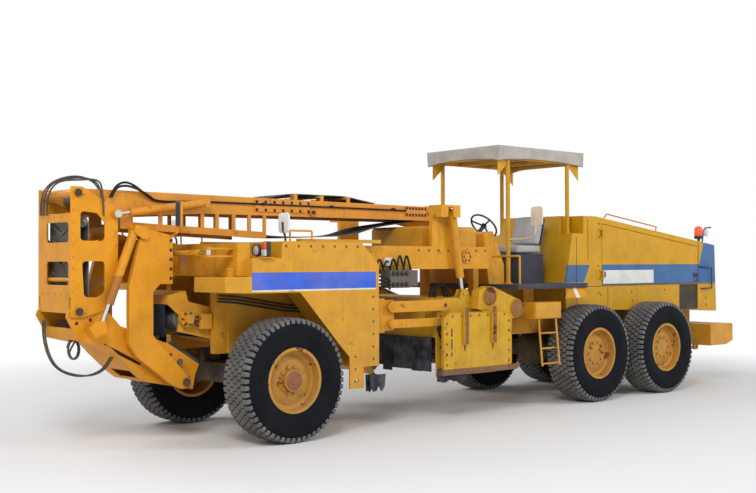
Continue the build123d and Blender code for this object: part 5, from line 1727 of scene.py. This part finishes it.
# ---------------------------------------------------------------- milling unit
@dataclass
class Milling:
    """Bolts, rust and rubber on the milling unit, under the front body and on the front hubs."""

    plate_y: float = 1.260
    guides: tuple[float, ...] = (-2.560, -3.060)
    flap_thick: float = 0.012
    hub_y: float = 1.202
    hub_z: float = 0.674

    def side_plates(self) -> None:
        """Bolt the skids, stiffen the plates' edges and mark the depth slots with dark strips of painted shade."""
        for word, side in SIDES:
            y = side * self.plate_y
            skid = y + side * 0.005
            spots = row((-2.24, skid, 0.612), (-3.46, skid, 0.612), 13)
            for start, end, count in (((-2.25, 0.70), (-2.25, 1.20), 5), ((-3.36, 0.70), (-3.36, 1.20), 5),
                                      ((-2.35, 1.285), (-3.28, 1.285), 7)):
                spots += row((start[0], y, start[1]), (end[0], y, end[1]), count)
            heads = bolts(f"plate_bolts_{word}", spots, 0.012, 0.008, (0, side, 0))
            mount(heads, f"plate_{word}", Coat.RUSTY)
            # painted shade: each depth slot is a dark strip on the plate that stands for the shade inside the opening
            slots = [box("slot", (-2.345, y - side * 0.001, z), (-2.322, y + side * 0.002, z + tall))
                     for z, tall in ((0.80, 0.05), (0.88, 0.13), (1.04, 0.10))]
            mount(merged(f"depth_slots_{word}", slots), f"plate_{word}", Coat.DARK)
            rim = ((-2.202, 0.66), (-2.202, 1.24), (-2.29, 1.322), (-3.32, 1.322), (-3.402, 1.24), (-3.402, 0.66))
            mount(tube(f"plate_edge_{word}", [(x, y, z) for x, z in rim], 0.007, False), f"plate_{word}", Coat.CUTTER)

    def covers(self) -> None:
        """Cover the drive case with two round rusty plates and the guide bars with worn faces."""
        profile = [(0.0, 0.0), (0.112, 0.0), (0.112, 0.008), (0.104, 0.012), (0.060, 0.012), (0.056, 0.018),
                   (0.0, 0.019)]
        pieces = []
        for x, z in ((-3.080, 1.516), (-3.584, 1.350)):
            pieces += [stand(lathe("cover", profile, 40), (x, 1.200, z)),
                       bolts("cover_bolts", circle((x, 1.210, z), 0.088, 8), 0.010, 0.009)]
        for x in self.guides:
            face = plate("guide_face", [(x - 0.032, 0.936), (x + 0.032, 0.936), (x + 0.032, 1.394), (x - 0.032, 1.394)],
                         1.296, 1.300)
            spots = [at(x, 1.300, z) for z in (0.97, 1.07, 1.19, 1.29, 1.37)]
            pieces += [rounded(face, 0.001, 1), bolts("guide_bolts", spots, 0.016, 0.010)]
        pair("rusty_covers", pieces, "milling_unit", Coat.RUSTY)
        hubs = [bar("pin_face", (-2.35, 1.140, z), (-2.35, 1.146, z), 0.022) for z in (1.420, 1.220)]
        heads = bolts("house_row", row((-2.34, 1.060, 0.90), (-2.34, 1.060, 1.40), 5), 0.012, 0.008)
        pair("housing_bolts", [heads, *hubs], "milling_unit", Coat.DARK)

    def hoses(self) -> None:
        """Loop hoses over the housing, clamped at both ends."""
        pieces = [tube("house_hose", [
            (-2.50, 0.70 + s, 1.50), (-2.50, 0.70 + s, 1.60), (-2.58, 0.71 + s, 1.66), (-2.70, 0.72 + s, 1.64),
            (-2.74, 0.73 + s, 1.50)], 0.014) for s in (0.0, 0.05, 0.10)]
        ring = coil((-2.32, 1.118, 1.10), 0.085, 0.085, 0.0035, 20)
        pieces.append(tube("ring", [(-2.30, 1.066, 1.19), *ring, (-2.36, 1.066, 1.02)], 0.012))
        pair("house_hoses", pieces, "milling_unit", Coat.BLACK)

    def flap(self, x0: float, x1: float, foot: float, y: float, top: float = 0.640) -> Piece:
        """Return one torn rubber flap that hangs under an edge.

        Args:
            x0: Front station.
            x1: Rear station.
            foot: Height of its longest tongue.
            y: Its plane.
            top: Height of its upper edge.

        Returns:
            The flap.
        """
        steps = 12
        lower = []
        for share in (step / steps for step in range(steps + 1)):
            torn = 0.5 + 0.5 * noise.noise(Vector((share * 4.2, x0, y)))
            lower.append((x0 + (x1 - x0) * share, foot + (top - foot) * 0.62 * torn))
        piece = plate("flap", [(x1, top), (x0, top), *lower], y, y + self.flap_thick)
        for vertex in piece.data.vertices:
            vertex.co.y += (top - vertex.co.z) * 0.12 * math.sin(vertex.co.x * 9)
        return rounded(piece, 0.002, 1)

    def flaps(self) -> None:
        """Hang the rubber flaps in front of the drum and behind the front legs."""
        legs = [self.flap(-1.19, -1.43, 0.375, 1.06), self.flap(-1.19, -1.36, 0.36, 0.98)]
        pair("leg_flaps", legs, "root", Coat.FLAP)
        pair("drum_flaps", [self.flap(-2.270, -2.80, 0.395, 1.066)], "milling_unit", Coat.FLAP)
        curtain = []
        for number in range(11):
            y = -0.99 + number * 0.18
            foot = 0.60 + 0.08 * noise.noise(Vector((number * 0.9, 2.0, 0.0)))
            curtain.append(rounded(box("strip", (-2.262, y, foot), (-2.250, y + 0.172, 1.02)), 0.002, 1))
        mount(merged("drum_curtain", curtain), "milling_unit", Coat.FLAP)

    def hubs(self) -> None:
        """Cap the front hubs in worn red."""
        profile = [(0.0, 0.0), (0.104, 0.0), (0.104, 0.004), (0.092, 0.010), (0.050, 0.012), (0.046, 0.020),
                   (0.0, 0.022)]
        for word, side in SIDES:
            cap = stand(lathe("hub_cap", profile, 36), (0, side * self.hub_y, self.hub_z), 0 if side > 0 else math.pi)
            spots = circle((0, side * (self.hub_y + 0.004), self.hub_z), 0.078, 8)
            heads = bolts("hub_bolts", spots, 0.009, 0.010, (0, side, 0))
            mount(merged(f"hub_cap_{word}", [cap, heads]), f"wheel_front_{word}", Coat.HUB)

    def build(self) -> None:
        """Add all of it."""
        self.side_plates()
        self.covers()
        self.hoses()
        self.flaps()
        self.hubs()


# ---------------------------------------------------------------- the whole
NODES = {
    Coat.BODY: ("front_body", "water_tank"),
    Coat.HOOD: ("engine_hood", "engine_door_left", "engine_door_right", "canopy_frame"),
    Coat.CANVAS: ("canopy_cover",),
    Coat.CUTTER: ("milling_housing", "side_plate_left", "side_plate_right", "rear_scraper"),
    Coat.SMOOTH: ("swing_frame", "lower_boom", "link_frame"),
    Coat.ORANGE: ("upper_boom", "boom_fold_barrels"),
    Coat.BELT: ("primary_belt", "lower_belt", "link_belt", "upper_belt"),
    Coat.LIFT: ("conveyor_lift_barrels",),
    Coat.CHROME: ("boom_fold_rods", "conveyor_lift_rods", "milling_lift_rods", "swing_cylinder_rod"),
    Coat.STEEL: ("cutter_drum",),
    Coat.GREY: ("engine_block", "valve_banks"),
    Coat.DARK: ("front_axle", "rear_axles", "steering_knuckle_left", "steering_knuckle_right", "radiator_grilles"),
    Coat.DECK: ("operator_platform",),
    Coat.CONSOLE: ("control_console",),
    Coat.VINYL: ("seat_cushions",),
    Coat.MIRROR_BACK: ("mirrors",),
}
COATS = {name: coat for coat, names in NODES.items() for name in names}
PREFIXES = {"tyre": Coat.TYRE, "rim_": Coat.RIM}


def paint_nodes(nodes: dict[str, Piece]) -> None:
    """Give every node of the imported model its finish; what isn't listed is frame yellow.

    Args:
        nodes: The model's nodes by name.
    """
    for name, node in nodes.items():
        activate(dress(node, COATS.get(name) or PREFIXES.get(name[:4], Coat.FRAME)))
        bpy.ops.object.shade_smooth_by_angle(angle=0.55)


def main() -> None:
    """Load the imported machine, dress it and light it."""
    logging.basicConfig(level=logging.INFO, format="%(name)s: %(message)s")
    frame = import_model()
    paint_nodes(frame["nodes"])
    for assembly in (Studio, Wheels, Canopy, Seat, Conveyor, FrontBody, Lamps, Mirrors, Station, Hood, Milling):
        assembly().build()
    bpy.context.scene.view_settings.view_transform = "Standard"


if __name__ == "__main__":
    main()
